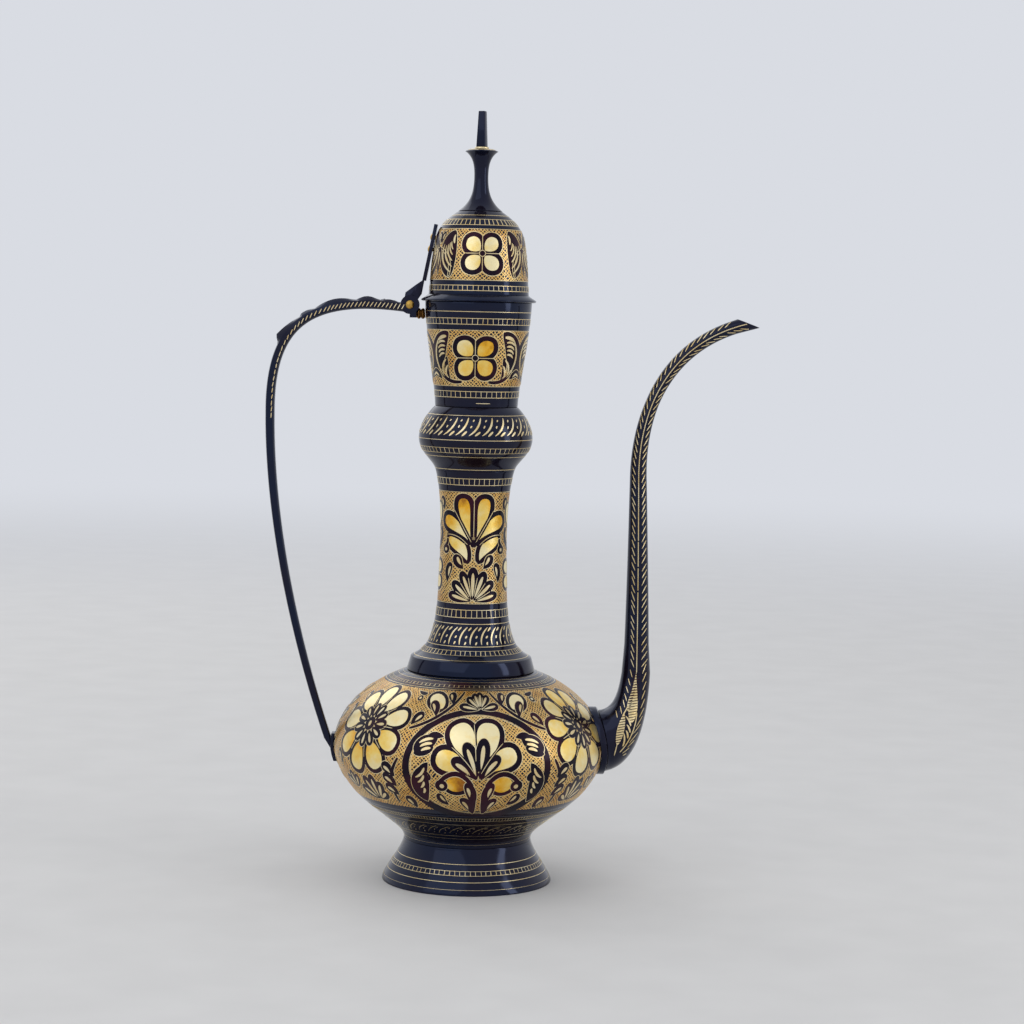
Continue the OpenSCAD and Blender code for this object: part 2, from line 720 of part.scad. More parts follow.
module lid_strap() {
    pin = [pin_x, pin_z];
    function on_eye(a) = pin + eye_r * [cos(a), sin(a)];
    color(lacquer)
        difference() {
            union() {
                upright(strap_w)
                    polygon([strap_point(-strap_low, 0), strap_point(strap_high, 0),
                             strap_point(strap_high, strap_t), strap_point(-strap_low, strap_t)]);
                upright(tongue_w)
                    polygon([strap_point(strap_t / 2 - strap_low, strap_t / 2),
                             strap_point(-strap_low, strap_t), pin + tongue_back, pin + tongue_heel,
                             on_eye(eye_back), pin, on_eye(eye_front), pin + tongue_front]);
                cross_bar(pin_x, pin_z, eye_r, tongue_w);
            }
            cross_bar(pin_x, pin_z, pin_r + pin_gap, tongue_w + 2 * cut_over);
            turned_solid(grown(dome_line, braze_gap));
            rivet_places()
                translate([0, 0, -cut_over])
                    cylinder(r = rivet_r + fit_gap, h = strap_t + 2 * cut_over);
        }
}

module strap_rivets() {
    head_r = rivet_r * 1.9;
    head_h = rivet_r * 0.8;
    shank = strap_t + 2 * wall;
    cap_r = (pow(head_r, 2) + pow(head_h, 2)) / (2 * head_h);
    head = [for (i = [0:dome_steps]) let (a = asin(head_r / cap_r) * i / dome_steps)
            [cap_r * sin(a), cap_r - head_h - cap_r * cos(a)]];
    color(brass)
        rivet_places()
            turned(concat(head, [[rivet_r, 0], [rivet_r, shank], [0, shank]]));
}

// Finial
module finial_stem() {
    bore_r = rod_r + fit_gap;
    color(lacquer)
        turned(concat([[bore_r, dome_top_z]], stem_line, [[disc_r, washer_z], [bore_r, washer_z]]));
}

module finial_washer() {
    color(brass)
        ring(rod_r + fit_gap, washer_r, washer_z, spike_z);
}

module finial_spike() {
    color(lacquer)
        difference() {
            translate([0, 0, spike_z])
                rotate([0, 0, spike_turn])
                    cylinder(r1 = spike_foot_w / sqrt(2), r2 = spike_top_w / sqrt(2), h = spike_h, $fn = 4);
            translate([0, 0, spike_z - cut_over])
                cylinder(r = rod_r + fit_gap, h = rod_grip + cut_over);
        }
}

nut_z = dome_top_z - wall - nut_t;

module finial_rod() {
    low_z = nut_z - rod_tail;
    color(brass)
        translate([0, 0, low_z])
            cylinder(r = rod_r, h = spike_z + rod_grip - low_z);
}

module finial_nut() {
    color(brass)
        difference() {
            translate([0, 0, nut_z])
                cylinder(d = nut_w / cos(30), h = nut_t, $fn = 6);
            translate([0, 0, nut_z - cut_over])
                cylinder(r = rod_r + fit_gap, h = nut_t + 2 * cut_over);
        }
}

foot();
body_base();
body_bowl();
neck_collar();
neck_tube();
neck_bulge();
neck_mouth();
spout_flange();
spout_tube();
handle_bow();
handle_plate();
handle_ferrule();
hinge_pin();
lid_rim();
lid_skirt();
lid_dome();
lid_strap();
strap_rivets();
finial_stem();
finial_rod();
finial_nut();
finial_washer();
finial_spike();
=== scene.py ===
import bpy
import math
import random
from bisect import bisect_right
from mathutils import Matrix, Vector


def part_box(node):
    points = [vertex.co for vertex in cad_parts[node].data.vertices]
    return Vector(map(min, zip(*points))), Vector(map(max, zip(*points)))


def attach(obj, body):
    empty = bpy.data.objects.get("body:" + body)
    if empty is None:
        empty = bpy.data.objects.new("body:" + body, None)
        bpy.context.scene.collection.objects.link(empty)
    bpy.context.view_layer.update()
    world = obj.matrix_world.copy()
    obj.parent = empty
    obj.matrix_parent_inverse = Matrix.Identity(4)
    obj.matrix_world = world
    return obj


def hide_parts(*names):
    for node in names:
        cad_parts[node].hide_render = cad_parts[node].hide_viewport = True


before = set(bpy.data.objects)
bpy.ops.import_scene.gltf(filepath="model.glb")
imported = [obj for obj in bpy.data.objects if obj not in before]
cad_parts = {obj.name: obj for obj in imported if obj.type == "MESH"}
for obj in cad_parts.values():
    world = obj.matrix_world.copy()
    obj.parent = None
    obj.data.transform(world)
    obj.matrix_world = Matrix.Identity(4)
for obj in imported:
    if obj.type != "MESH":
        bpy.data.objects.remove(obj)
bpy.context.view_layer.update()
scene = bpy.context.scene
scene.view_settings.view_transform = "Standard"

MM = 0.001
hand = random.Random(11)


# Camera: the ewer seen from its front, a little from above, with the picture tipped slightly
CAMERA_PLACE = Vector((0.019, -1.300, 0.28502))
CAMERA_DIP = math.radians(4.333)
CAMERA_TIP = math.radians(1.3)
CAMERA_LENS = 91.41
CAMERA_SENSOR = 36

forward = Vector((0, math.cos(CAMERA_DIP), -math.sin(CAMERA_DIP)))
level = Vector((1, 0, 0))
upward = level.cross(forward)
right = level * math.cos(CAMERA_TIP) + upward * math.sin(CAMERA_TIP)
camera_up = right.cross(forward)
camera_data = bpy.data.cameras.new("camera")
camera_data.lens = CAMERA_LENS
camera_data.sensor_width = CAMERA_SENSOR
camera = bpy.data.objects.new("camera", camera_data)
camera_turn = Matrix((right, camera_up, -forward)).transposed().to_4x4()
camera.matrix_world = Matrix.Translation(CAMERA_PLACE) @ camera_turn
scene.collection.objects.link(camera)
scene.camera = camera


# Materials
def tone(code):
    """A hex sRGB colour as linear light."""
    parts = [int(code[i:i + 2], 16) / 255 for i in (1, 3, 5)]
    return [p / 12.92 if p <= 0.04045 else ((p + 0.055) / 1.055) ** 2.4 for p in parts] + [1]


def add_node(tree, kind, links=(), inputs=(), stops=(), **settings):
    """Adds a node with its settings, its constant inputs, its colour stops and its links."""
    made = tree.nodes.new(kind)
    for key, value in settings.items():
        setattr(made, key, value)
    for key, value in inputs:
        made.inputs[key].default_value = value
    for key, source in links:
        tree.links.new(source, made.inputs[key])
    for i, (place, value) in enumerate(stops):
        stop = made.color_ramp.elements[i] if i < 2 else made.color_ramp.elements.new(place)
        stop.position = place
        stop.color = tone(value) if isinstance(value, str) else [value, value, value, 1]
    return made


def new_material(name):
    """A new material with its node tree and its shader."""
    material = bpy.data.materials.new(name)
    material.use_nodes = True
    return material, material.node_tree, material.node_tree.nodes["Principled BSDF"]


def per_metre(size_mm):
    """The scale of a noise whose patches are about this size."""
    return 1 / (size_mm * MM)


def mottled(name, stops, patch_inputs, mark_inputs, bump_inputs, rough, with_stain_and_shade=False):
    """A surface whose colour drifts in patches and whose gloss and ripple follow finer marks."""
    material, tree, shader = new_material(name)
    spread = [("From Min", 0.3), ("From Max", 0.7)]
    place = add_node(tree, "ShaderNodeTexCoord").outputs["Object"]
    depth = add_node(tree, "ShaderNodeTexNoise", [("Vector", place)], patch_inputs).outputs["Fac"]
    if with_stain_and_shade:
        # The stain attribute adds real staining and, on shaded flowers, painted shade
        stain_and_shade = add_node(tree, "ShaderNodeAttribute", attribute_name="stain_and_shade").outputs["Fac"]
        drift = add_node(tree, "ShaderNodeMapRange", [("Value", depth)],
                         spread + [("To Min", -0.22), ("To Max", 0.22)]).outputs["Result"]
        depth = add_node(tree, "ShaderNodeMath", [(0, stain_and_shade), (1, drift)], operation="ADD").outputs["Value"]
    colour = add_node(tree, "ShaderNodeValToRGB", [("Fac", depth)], stops=stops)
    marks = add_node(tree, "ShaderNodeTexNoise", [("Vector", place)], mark_inputs).outputs["Fac"]
    gloss = add_node(tree, "ShaderNodeMapRange", [("Value", marks)],
                     spread + [("To Min", rough[0]), ("To Max", rough[1])])
    ripple = add_node(tree, "ShaderNodeBump", [("Height", marks)], bump_inputs)
    tree.links.new(colour.outputs["Color"], shader.inputs["Base Color"])
    tree.links.new(gloss.outputs["Result"], shader.inputs["Roughness"])
    tree.links.new(ripple.outputs["Normal"], shader.inputs["Normal"])
    return material, shader


def lacquer(name, stops, patch_mm, rough, painted_reflection_tint):
    """Black lacquer stoved on brass: a deep brown-black film, a soft gloss tinted with a painted reflection
    colour, and a faint ripple.
    """
    material, shader = mottled(name, stops, [("Scale", per_metre(patch_mm)), ("Detail", 3)],
                               [("Scale", per_metre(5)), ("Detail", 4)],
                               [("Strength", 0.04), ("Distance", 0.2 * MM)], rough)
    shader.inputs["IOR"].default_value = 1.45
    # The gloss tint is a painted reflection colour, not a colour of the film itself
    shader.inputs["Specular Tint"].default_value = tone(painted_reflection_tint)
    return material


def brass(name, stops, patch_mm, rough, with_stain_and_shade=False, varnish=0.4):
    """Brass laid bare by the graver: warm yellow metal, browned in patches, under a clear varnish."""
    # A graver's own marks are too fine to show, so they are drawn coarser, at 1.2 mm
    material, shader = mottled(name, stops,
                               [("Scale", per_metre(patch_mm)), ("Detail", 4), ("Roughness", 0.6)],
                               [("Scale", per_metre(1.2)), ("Detail", 3)],
                               [("Strength", 0.15), ("Distance", 0.1 * MM)], rough, with_stain_and_shade)
    shader.inputs["Metallic"].default_value = 1
    shader.inputs["Coat Weight"].default_value = varnish
    shader.inputs["Coat Roughness"].default_value = 0.12
    return material


# Thick film on the plain forms: gloss black, brown where it is thin; its navy patches and blue-tinted gloss
# are a painted reflection of blue light
black_film = lacquer("black stoved lacquer", [(0.4, "#0b1020"), (0.66, "#170c10")], 40, (0.07, 0.15),
                     "#b0c2f6")
# Thin film left standing between cuts: near black, wine red in patches, with a mauve-tinted gloss that is a
# painted reflection
line_film = lacquer("dark lacquer left between cuts", [(0.44, "#0c0b15"), (0.7, "#34121d")], 18,
                    (0.14, 0.24), "#9a86a0")
# Broad cuts: cream brass that stains to amber and brown along each petal; the stain attribute also carries
# painted shade on shaded flowers
petal_brass = brass("cut brass petals",
                    [(0.05, "#fdeebb"), (0.42, "#fbd873"), (0.7, "#f6b82e"), (0.98, "#a86a1c")],
                    7, (0.34, 0.48), with_stain_and_shade=True)
# Graver's lines: pale straw brass
line_brass = brass("cut brass lines", [(0.3, "#f2e4bc"), (0.7, "#dcbf80")], 9, (0.32, 0.44))
# Fine hatching: deeper gold, since dirt stays in the cuts
hatch_brass = brass("hatched brass ground", [(0.3, "#efcd84"), (0.7, "#d6a04a")], 12, (0.36, 0.5))
# Fittings off the lathe: plain yellow brass with no varnish
bare_brass = brass("turned bare brass", [(0.3, "#d9b763"), (0.7, "#a97d35")], 4, (0.24, 0.36), varnish=0.0)
# Old brass of the ferrule: brown, darker in patches
brown_brass = brass("browned brass", [(0.3, "#8f642e"), (0.7, "#3a2616")], 3, (0.22, 0.36), varnish=0.0)

BLACK = (black_film, "black_lacquer")
BRASS = (bare_brass, "bare_brass")
PALE_BRASS = (line_brass, "bare_brass")
BROWN_BRASS = (brown_brass, "bare_brass")


# Shaping tools
def only(piece):
    """Makes a piece the one that is selected."""
    bpy.ops.object.select_all(action="DESELECT")
    piece.select_set(True)
    bpy.context.view_layer.objects.active = piece


def merged(piece, flat=None, turn_out=True):
    """Merges a mesh's doubled points, and joins its flat faces where an angle is given."""
    only(piece)
    bpy.ops.object.mode_set(mode="EDIT")
    bpy.ops.mesh.select_all(action="SELECT")
    bpy.ops.mesh.remove_doubles(threshold=0.001 * MM)
    bpy.ops.mesh.delete_loose()
    bpy.ops.mesh.select_all(action="SELECT")
    if flat:
        bpy.ops.mesh.dissolve_limited(angle_limit=math.radians(flat))
        bpy.ops.mesh.select_all(action="SELECT")
    if turn_out:
        bpy.ops.mesh.normals_make_consistent(inside=False)
    bpy.ops.object.mode_set(mode="OBJECT")


def applied(piece, kind, **settings):
    """Adds a modifier and applies it."""
    only(piece)
    modifier = piece.modifiers.new(kind.lower(), kind)
    for key, value in settings.items():
        setattr(modifier, key, value)
    bpy.ops.object.modifier_apply(modifier=modifier.name)


def finished(piece, material, slot, body, *nodes, edge=0.0, crease=40):
    """Breaks a piece's sharp edges, shades it, gives it its finish and sets it on its body."""
    if edge:
        applied(piece, "BEVEL", width=edge * MM, segments=2, limit_method="ANGLE",
                angle_limit=math.radians(crease), harden_normals=False)
    only(piece)
    bpy.ops.object.shade_smooth_by_angle(angle=math.radians(crease))
    piece.data.materials.clear()
    piece.data.materials.append(material)
    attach(piece, body)
    if nodes:
        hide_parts(*nodes)


def turned(name, outline, turns=192):
    """Spins a closed outline of radius and height, in mm, about the upright axis."""
    bpy.ops.object.select_all(action="DESELECT")
    bpy.ops.mesh.primitive_circle_add(vertices=len(outline))
    piece = bpy.context.object
    piece.name = name
    piece.data.name = name
    for vertex, (radius, height) in zip(piece.data.vertices, outline):
        vertex.co = (radius * MM, 0, height * MM)
    bpy.ops.object.mode_set(mode="EDIT")
    bpy.ops.mesh.select_all(action="SELECT")
    bpy.ops.mesh.spin(steps=turns, angle=2 * math.pi, center=(0, 0, 0), axis=(0, 0, 1))
    bpy.ops.object.mode_set(mode="OBJECT")
    merged(piece)
    return piece


def meshed(name, points, faces):
    """A new piece from points in mm and faces."""
    mesh = bpy.data.meshes.new(name)
    mesh.from_pydata([(x * MM, y * MM, z * MM) for x, y, z in points], [], faces)
    piece = bpy.data.objects.new(name, mesh)
    scene.collection.objects.link(piece)
    return piece


def copied(name, node):
    """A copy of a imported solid, merged so that its edges can be broken."""
    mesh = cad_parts[node].data.copy()
    mesh.name = name
    piece = bpy.data.objects.new(name, mesh)
    scene.collection.objects.link(piece)
    merged(piece, flat=0.5)
    return piece


# Curves, as points of radius and height or of x and z, in mm
def drawn(start, start_pull, end_pull, end, steps):
    """Points of a curve that leaves its start and meets its end along the pulls given."""
    a, d = Vector(start), Vector(end)
    b, c = a + Vector(start_pull), d - Vector(end_pull)
    points = []
    for i in range(steps + 1):
        t = i / steps
        u = 1 - t
        points.append(a * u ** 3 + b * (3 * u * u * t) + c * (3 * u * t * t) + d * t ** 3)
    return points


def heading(line, i):
    """The direction of a line at one of its points."""
    return (line[min(i + 1, len(line) - 1)] - line[max(i - 1, 0)]).normalized()


def grown(line, by):
    """A line moved out along its normals."""
    return [p + by * Vector((heading(line, i).y, -heading(line, i).x)) for i, p in enumerate(line)]


def lined(line, thickness):
    """The inner face of a wall of even thickness."""
    return [p - Vector((thickness / abs(heading(line, i).y), 0)) for i, p in enumerate(line)]


def lookup(key, pairs):
    """The value at a key, in straight steps between pairs that rise."""
    if key <= pairs[0][0]:
        return pairs[0][1]
    for (a, low), (b, high) in zip(pairs, pairs[1:]):
        if key <= b:
            return low + (high - low) * (key - a) / (b - a)
    return pairs[-1][1]


def radius_at(line, height):
    """A turned line's radius at a height."""
    return lookup(height, [(p.y, p.x) for p in line])


def bottom(node):
    """The height of a solid's lowest point, in mm."""
    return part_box(node)[0].z / MM


def top(node):
    """The height of a solid's highest point, in mm."""
    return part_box(node)[1].z / MM


# Sizes of the ewer, in mm; the seams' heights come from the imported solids
WALL = 1.5
LAP = 3
SLIP = 0.05
FOOT_R = 43
WAIST_R = 32.2
SEAM_R = 53.9
BELLY_R = 68.2
BELLY_H = 25.5
SHOULDER_H = 44.5
COLLAR_R = 32.2
COLLAR_TOP_R = 30.2
NECK_R = 16.8
NECK_H = 61.2
BULGE_FOOT_R = 20
BULGE_R = 28.7
BULGE_H = 15.8
THROAT_R = 20.9
MOUTH_R = 26.9
RIM_R = 28.9
LEDGE_H = 3.5 * 0.55
SKIRT_H = 6
SKIRT_T = 1.2
SKIRT_GAP = 0.5
DOME_R = 25.2
DOME_CAP_R = 22.3
DOME_CAP_H = 27.3
DOME_TOP_R = 11
STEM_R = 3.5
STEM_H = 17
DISC_R = 8.3
DISC_FLAT_R = 6.1
DISC_T = 1
WASHER_R = 3.5
ROD_R = 1.3

waist_z = top("foot")
seam_z = top("body_base")
belly_z = seam_z + BELLY_H
collar_z = top("body_bowl")
neck_z = top("neck_collar")
narrow_z = neck_z + NECK_H
bulge_z = bottom("neck_bulge")
bulge_mid_z = bulge_z + BULGE_H
throat_z = bottom("neck_mouth")
mouth_z = top("neck_mouth")
dome_z = bottom("lid_dome")
dome_cap_z = dome_z + DOME_CAP_H
dome_top_z = top("lid_dome")
stem_mid_z = dome_top_z + STEM_H
washer_z = top("finial_stem")
disc_z = washer_z - DISC_T
spike_z = bottom("finial_spike")

foot_line = drawn((FOOT_R, 0), (0, 4.3), (-1, 7.1), (WAIST_R, waist_z), 28)
base_line = drawn((WAIST_R, waist_z), (0, 5.5), (12.2, 10.4), (SEAM_R, seam_z), 28)
belly_line = drawn((SEAM_R, seam_z), (5.8, 4.9), (0, 9), (BELLY_R, belly_z), 24)
shoulder_turn = math.acos(COLLAR_R / BELLY_R)
shoulder_line = [Vector((BELLY_R * math.cos(shoulder_turn * i / 36),
                         belly_z + SHOULDER_H * math.sin(shoulder_turn * i / 36))) for i in range(37)]
bowl_line = belly_line + shoulder_line[1:]
body_line = base_line + bowl_line[1:]
neck_line = (drawn((COLLAR_TOP_R, neck_z), (-10.2, 4.7), (-0.1, 49), (NECK_R, narrow_z), 40)
             + drawn((NECK_R, narrow_z), (0, 15), (1.8, 6.2), (BULGE_FOOT_R, bulge_z), 24)[1:])
bulge_line = (drawn((BULGE_FOOT_R, bulge_z), (1, 4.3), (0.2, 7.5), (BULGE_R, bulge_mid_z), 24)
              + drawn((BULGE_R, bulge_mid_z), (0, 6), (-4.3, 4.2), (THROAT_R, throat_z), 24)[1:])
mouth_line = drawn((THROAT_R, throat_z), (0.4, 12.8), (0.5, 16), (MOUTH_R, mouth_z), 32)
dome_line = (drawn((DOME_R, dome_z), (-0.8, 9.5), (-2.1, 10.8), (DOME_CAP_R, dome_cap_z), 24)
             + drawn((DOME_CAP_R, dome_cap_z), (-1.3, 6.7), (-6, 4), (DOME_TOP_R, dome_top_z), 28)[1:])
stem_line = (drawn((DOME_TOP_R, dome_top_z), (-5, 3.8), (0, 9), (STEM_R, stem_mid_z), 32)
             + drawn((STEM_R, stem_mid_z), (0, 6), (3.9, 2.5), (DISC_R, disc_z), 24)[1:])

# The engraver's ground lies this far inside the outer size, so the cut work stays within it
GROUND = 0.2


def sunk(line):
    """A turned line moved in to the ground."""
    return grown(line, -GROUND)


def shell(line):
    """The closed outline of a spun sheet."""
    return sunk(line) + lined(line, WALL)[::-1]


# Foot, body and neck
floor_z = waist_z + WALL
spigot_r = WAIST_R - WALL - SLIP
base_inside = [p for p in lined(base_line, WALL)[::-1] if p.y > floor_z]
base_outline = ([(0, waist_z), (spigot_r - WALL, waist_z), (spigot_r - WALL, waist_z - LAP),
                 (spigot_r, waist_z - LAP), (spigot_r, waist_z)]
                + sunk(base_line) + base_inside + [(base_inside[-1].x, floor_z), (0, floor_z)])
collar_bore = lined(bowl_line, WALL)[-1].x - SLIP - WALL
collar_outline = [(collar_bore, collar_z - LAP), (collar_bore + WALL, collar_z - LAP),
                  (collar_bore + WALL, collar_z), (COLLAR_R, collar_z), (COLLAR_TOP_R, neck_z),
                  (collar_bore, neck_z)]
TURNINGS = (
    ("foot_shell", shell(foot_line), "foot", 0.35),
    ("base_shell", base_outline, "body_base", 0.2),
    ("bowl_shell", shell(bowl_line), "body_bowl", 0.2),
    ("collar_ring", collar_outline, "neck_collar", 0.5),
    ("neck_shell", shell(neck_line), "neck_tube", 0.2),
    ("bulge_shell", shell(bulge_line), "neck_bulge", 0.2),
    ("mouth_shell", shell(mouth_line), "neck_mouth", 0.3))
for name, outline, node, edge in TURNINGS:
    finished(turned(name, outline), *BLACK, "vessel", node, edge=edge)

# Lid
skirt_r = radius_at(lined(mouth_line, WALL), mouth_z - SKIRT_H) - SKIRT_GAP
ledge_z = mouth_z + LEDGE_H
seat_r = lined(dome_line, WALL)[0].x
rim_outline = [(skirt_r + SLIP, mouth_z), (RIM_R - 1, mouth_z), (RIM_R, mouth_z + 0.6),
               (RIM_R - 0.4, mouth_z + 1.2), (DOME_R + 0.65, dome_z - 0.65), (DOME_R, dome_z),
               (seat_r, dome_z), (min(seat_r, skirt_r - 0.55), ledge_z), (skirt_r + SLIP, ledge_z)]
finished(turned("rim_ring", rim_outline), *BLACK, "lid", "lid_rim", edge=0.3)
skirt_outline = [(skirt_r - SKIRT_T, mouth_z - SKIRT_H), (skirt_r, mouth_z - SKIRT_H), (skirt_r, ledge_z),
                 (skirt_r - SKIRT_T, ledge_z)]
finished(turned("skirt_ring", skirt_outline), *BRASS, "lid", "lid_skirt", edge=0.25)

rod_bore = ROD_R + SLIP
dome_inside = [p for p in lined(dome_line, WALL)[::-1] if p.y < dome_top_z - WALL]
dome_outline = (sunk(dome_line) + [(rod_bore, dome_top_z), (rod_bore, dome_top_z - WALL),
                                   (dome_inside[0].x, dome_top_z - WALL)] + dome_inside)
finished(turned("dome_shell", dome_outline), *BLACK, "lid", "lid_dome", edge=0.2)
stem_outline = ([(rod_bore, dome_top_z)] + stem_line + [(DISC_FLAT_R, washer_z), (rod_bore, washer_z)])
finished(turned("stem_turning", stem_outline, 96), *BLACK, "lid", "finial_stem", edge=0.15)
worn_outline = [(DISC_FLAT_R - 0.5, washer_z - 0.3), (DISC_FLAT_R + 0.9, washer_z - 0.5),
                (DISC_FLAT_R + 0.9, washer_z - 0.32), (DISC_FLAT_R, washer_z + 0.08),
                (DISC_FLAT_R - 0.5, washer_z + 0.08)]
finished(turned("disc_worn_edge", worn_outline, 96), *PALE_BRASS, "lid")
washer_outline = [(rod_bore, washer_z), (WASHER_R, washer_z), (WASHER_R, spike_z), (rod_bore, spike_z)]
finished(turned("washer_ring", washer_outline, 96), *PALE_BRASS, "lid", "finial_washer", edge=0.3)
LID_CASTINGS = (
    ("spike_cast", "finial_spike", BLACK, 0.35),
    ("strap_leaf", "lid_strap", BLACK, 0.2),
    ("rivet_heads", "strap_rivets", BRASS, 0.1))
for name, node, finish, edge in LID_CASTINGS:
    finished(copied(name, node), *finish, "lid", node, edge=edge)
for hidden in ("finial_rod", "finial_nut"):
    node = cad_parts[hidden]
    node.data.materials.clear()
    node.data.materials.append(bare_brass)

# Handle and hinge
HANDLE_CASTINGS = (
    ("bow_cast", "handle_bow", BLACK, 0.3, 24),
    ("bow_seat", "handle_plate", BLACK, 0.3, 40),
    ("ferrule_beads", "handle_ferrule", BROWN_BRASS, 0.1, 40),
    ("pin_domed", "hinge_pin", BRASS, 0.1, 40))
for name, node, finish, edge, crease in HANDLE_CASTINGS:
    finished(copied(name, node), *finish, "vessel", node, edge=edge, crease=crease)

# Spout: hoops between its inner and outer outlines, from the seat to the slanted beak
FLANGE_T = 3
SEAT_GAP = 0.15
SPOUT_Z = 72
KNEE_OUT = 15
KNEE_H = 35
ROOT_R = 15.4
RISER_R = 7.2
BEND_R = 4.3
TIP_R = 3.4
RISER_H = 96
BEND_BACK = 1.3
TIP_OUT = 53
TIP_H = 80.4
TIP_CUT = math.radians(20)
SPOUT_WALL = 1.1
SPOUT_SIDES = 40
ROOT_STEPS = 24

spout_seat_line = grown(body_line, FLANGE_T + SEAT_GAP)
knee = Vector((BELLY_R + KNEE_OUT, SPOUT_Z + KNEE_H))
bend = knee + Vector((-BEND_BACK, RISER_H))
beak = bend + Vector((TIP_OUT, TIP_H))
riser_side = Vector((RISER_R, 0))


def on_seat(height):
    """The seat plate's face at a height, in the middle."""
    return Vector((radius_at(spout_seat_line, height), height))


root_over = drawn(on_seat(SPOUT_Z + ROOT_R), (7.5, 0.5), (1.4, 10.5), knee - riser_side, ROOT_STEPS)
root_under = drawn(on_seat(SPOUT_Z - ROOT_R), (13, 2.5), (0.7, 32), knee + riser_side, ROOT_STEPS)
riser = drawn(knee, (0, 30), (-0.7, 33), bend, 32) + drawn(bend, (-1.4, 39), (38, 9.4), beak, 48)[1:]
riser_radii = [(knee.y, RISER_R), (knee.y + RISER_H * 0.15, RISER_R - (RISER_R - BEND_R) * 0.35),
               (knee.y + RISER_H * 0.6, RISER_R - (RISER_R - BEND_R) * 0.7), (bend.y, BEND_R),
               (bend.y + TIP_H * 0.5, TIP_R), (beak.y, TIP_R)]
hoops = list(zip(root_over, root_under))
for i in range(1, len(riser)):
    way = heading(riser, i)
    side = lookup(riser[i].y, riser_radii) * Vector((-way.y, way.x))
    hoops.append((riser[i] + side, riser[i] - side))

tip = (hoops[-1][0] + hoops[-1][1]) / 2
tip_way = heading(riser, len(riser) - 1)
tip_slant = Vector((math.sin(TIP_CUT), math.cos(TIP_CUT)))
while (hoops[-2][0] - tip).dot(tip_slant) > -0.5:
    del hoops[-2]


def hoop_frame(over, under):
    """A hoop's centre, its half-width and its outward direction."""
    centre = (over + under) / 2
    half = (over - under).length / 2
    return centre, half, (over - centre) / half


def hoop_ring(i, thinner):
    """The points around one hoop, kept clear of the seat at the root and cut slanted at the beak."""
    centre, half, out = hoop_frame(*hoops[i])
    ring = []
    for k in range(SPOUT_SIDES):
        turn = 2 * math.pi * k / SPOUT_SIDES
        flat = centre + out * (half - thinner) * math.cos(turn)
        y = (half - thinner) * math.sin(turn)
        if i == len(hoops) - 1:
            flat = flat + tip_way * ((tip - flat).dot(tip_slant) / tip_way.dot(tip_slant))
        elif i <= ROOT_STEPS / 2:
            seat_x = math.sqrt(radius_at(spout_seat_line, flat.y) ** 2 - y * y)
            flat.x = seat_x if i == 0 else max(flat.x, seat_x + 0.2 * i)
        ring.append((flat.x, y, flat.y))
    return ring


rings = [hoop_ring(i, 0) for i in range(len(hoops))]
rings += [hoop_ring(i, SPOUT_WALL) for i in reversed(range(len(hoops)))]
spout_points = [p for ring in rings for p in ring]
spout_faces = []
for i in range(len(rings)):
    for k in range(SPOUT_SIDES):
        a, b = i * SPOUT_SIDES, (i + 1) % len(rings) * SPOUT_SIDES
        n = (k + 1) % SPOUT_SIDES
        spout_faces.append((a + k, b + k, b + n, a + n))
spout_pipe = meshed("spout_pipe", spout_points, spout_faces)
merged(spout_pipe)
finished(spout_pipe, *BLACK, "vessel", "spout_tube", edge=0.25)
finished(copied("spout_seat", "spout_flange"), *BLACK, "vessel", "spout_flange", edge=0.4)


# Engraving: flat shapes in mm, laid on a surface as thin plates; each kind has its sheet and its lift
KINDS = {"film": ("dark", 0.02), "hatch": ("hatch", 0.03), "line": ("line", 0.06), "halo": ("line", 0.08),
         "outline": ("dark", 0.12), "petal": ("petal", 0.16), "edge": ("line", 0.19),
         "finger": ("dark", 0.22), "stroke": ("line", 0.26)}
FINISHES = {"hatch": (hatch_brass, "bare_brass"), "line": PALE_BRASS, "dark": (line_film, "black_lacquer"),
            "petal": (petal_brass, "bare_brass")}
PLATE = 0.3
# Shapes of one kind that overlap lie a hair apart, and no facet strays from the round by more than the sag
STAGGER = 0.003
STAGGER_STEPS = 7
SAG = 0.008
RING_STEPS = 144
LOOP_STEPS = 72
WAVER = 0.15
HALO = 0.4
EDGE = 0.3


def sides_of(spine, halves):
    """The left and right edges of a stroke along a spine."""
    left, right = [], []
    for i, (point, half) in enumerate(zip(spine, halves)):
        way = heading(spine, i)
        across = Vector((-way.y, way.x)) * half
        left.append(point + across)
        right.append(point - across)
    return left, right


def pushed(edge, by):
    """An edge moved to its left."""
    return [p + by * Vector((-heading(edge, i).y, heading(edge, i).x)) for i, p in enumerate(edge)]


def widened(left, right, by):
    """A shape's two edges moved outwards, with a point before its start and after its end."""
    first = (left[1] + right[1] - left[0] - right[0]).normalized()
    last = (left[-1] + right[-1] - left[-2] - right[-2]).normalized()
    start = [(left[0] + right[0]) / 2 - first * by]
    end = [(left[-1] + right[-1]) / 2 + last * by]
    return start + pushed(left, by) + end, start + pushed(right, -by) + end


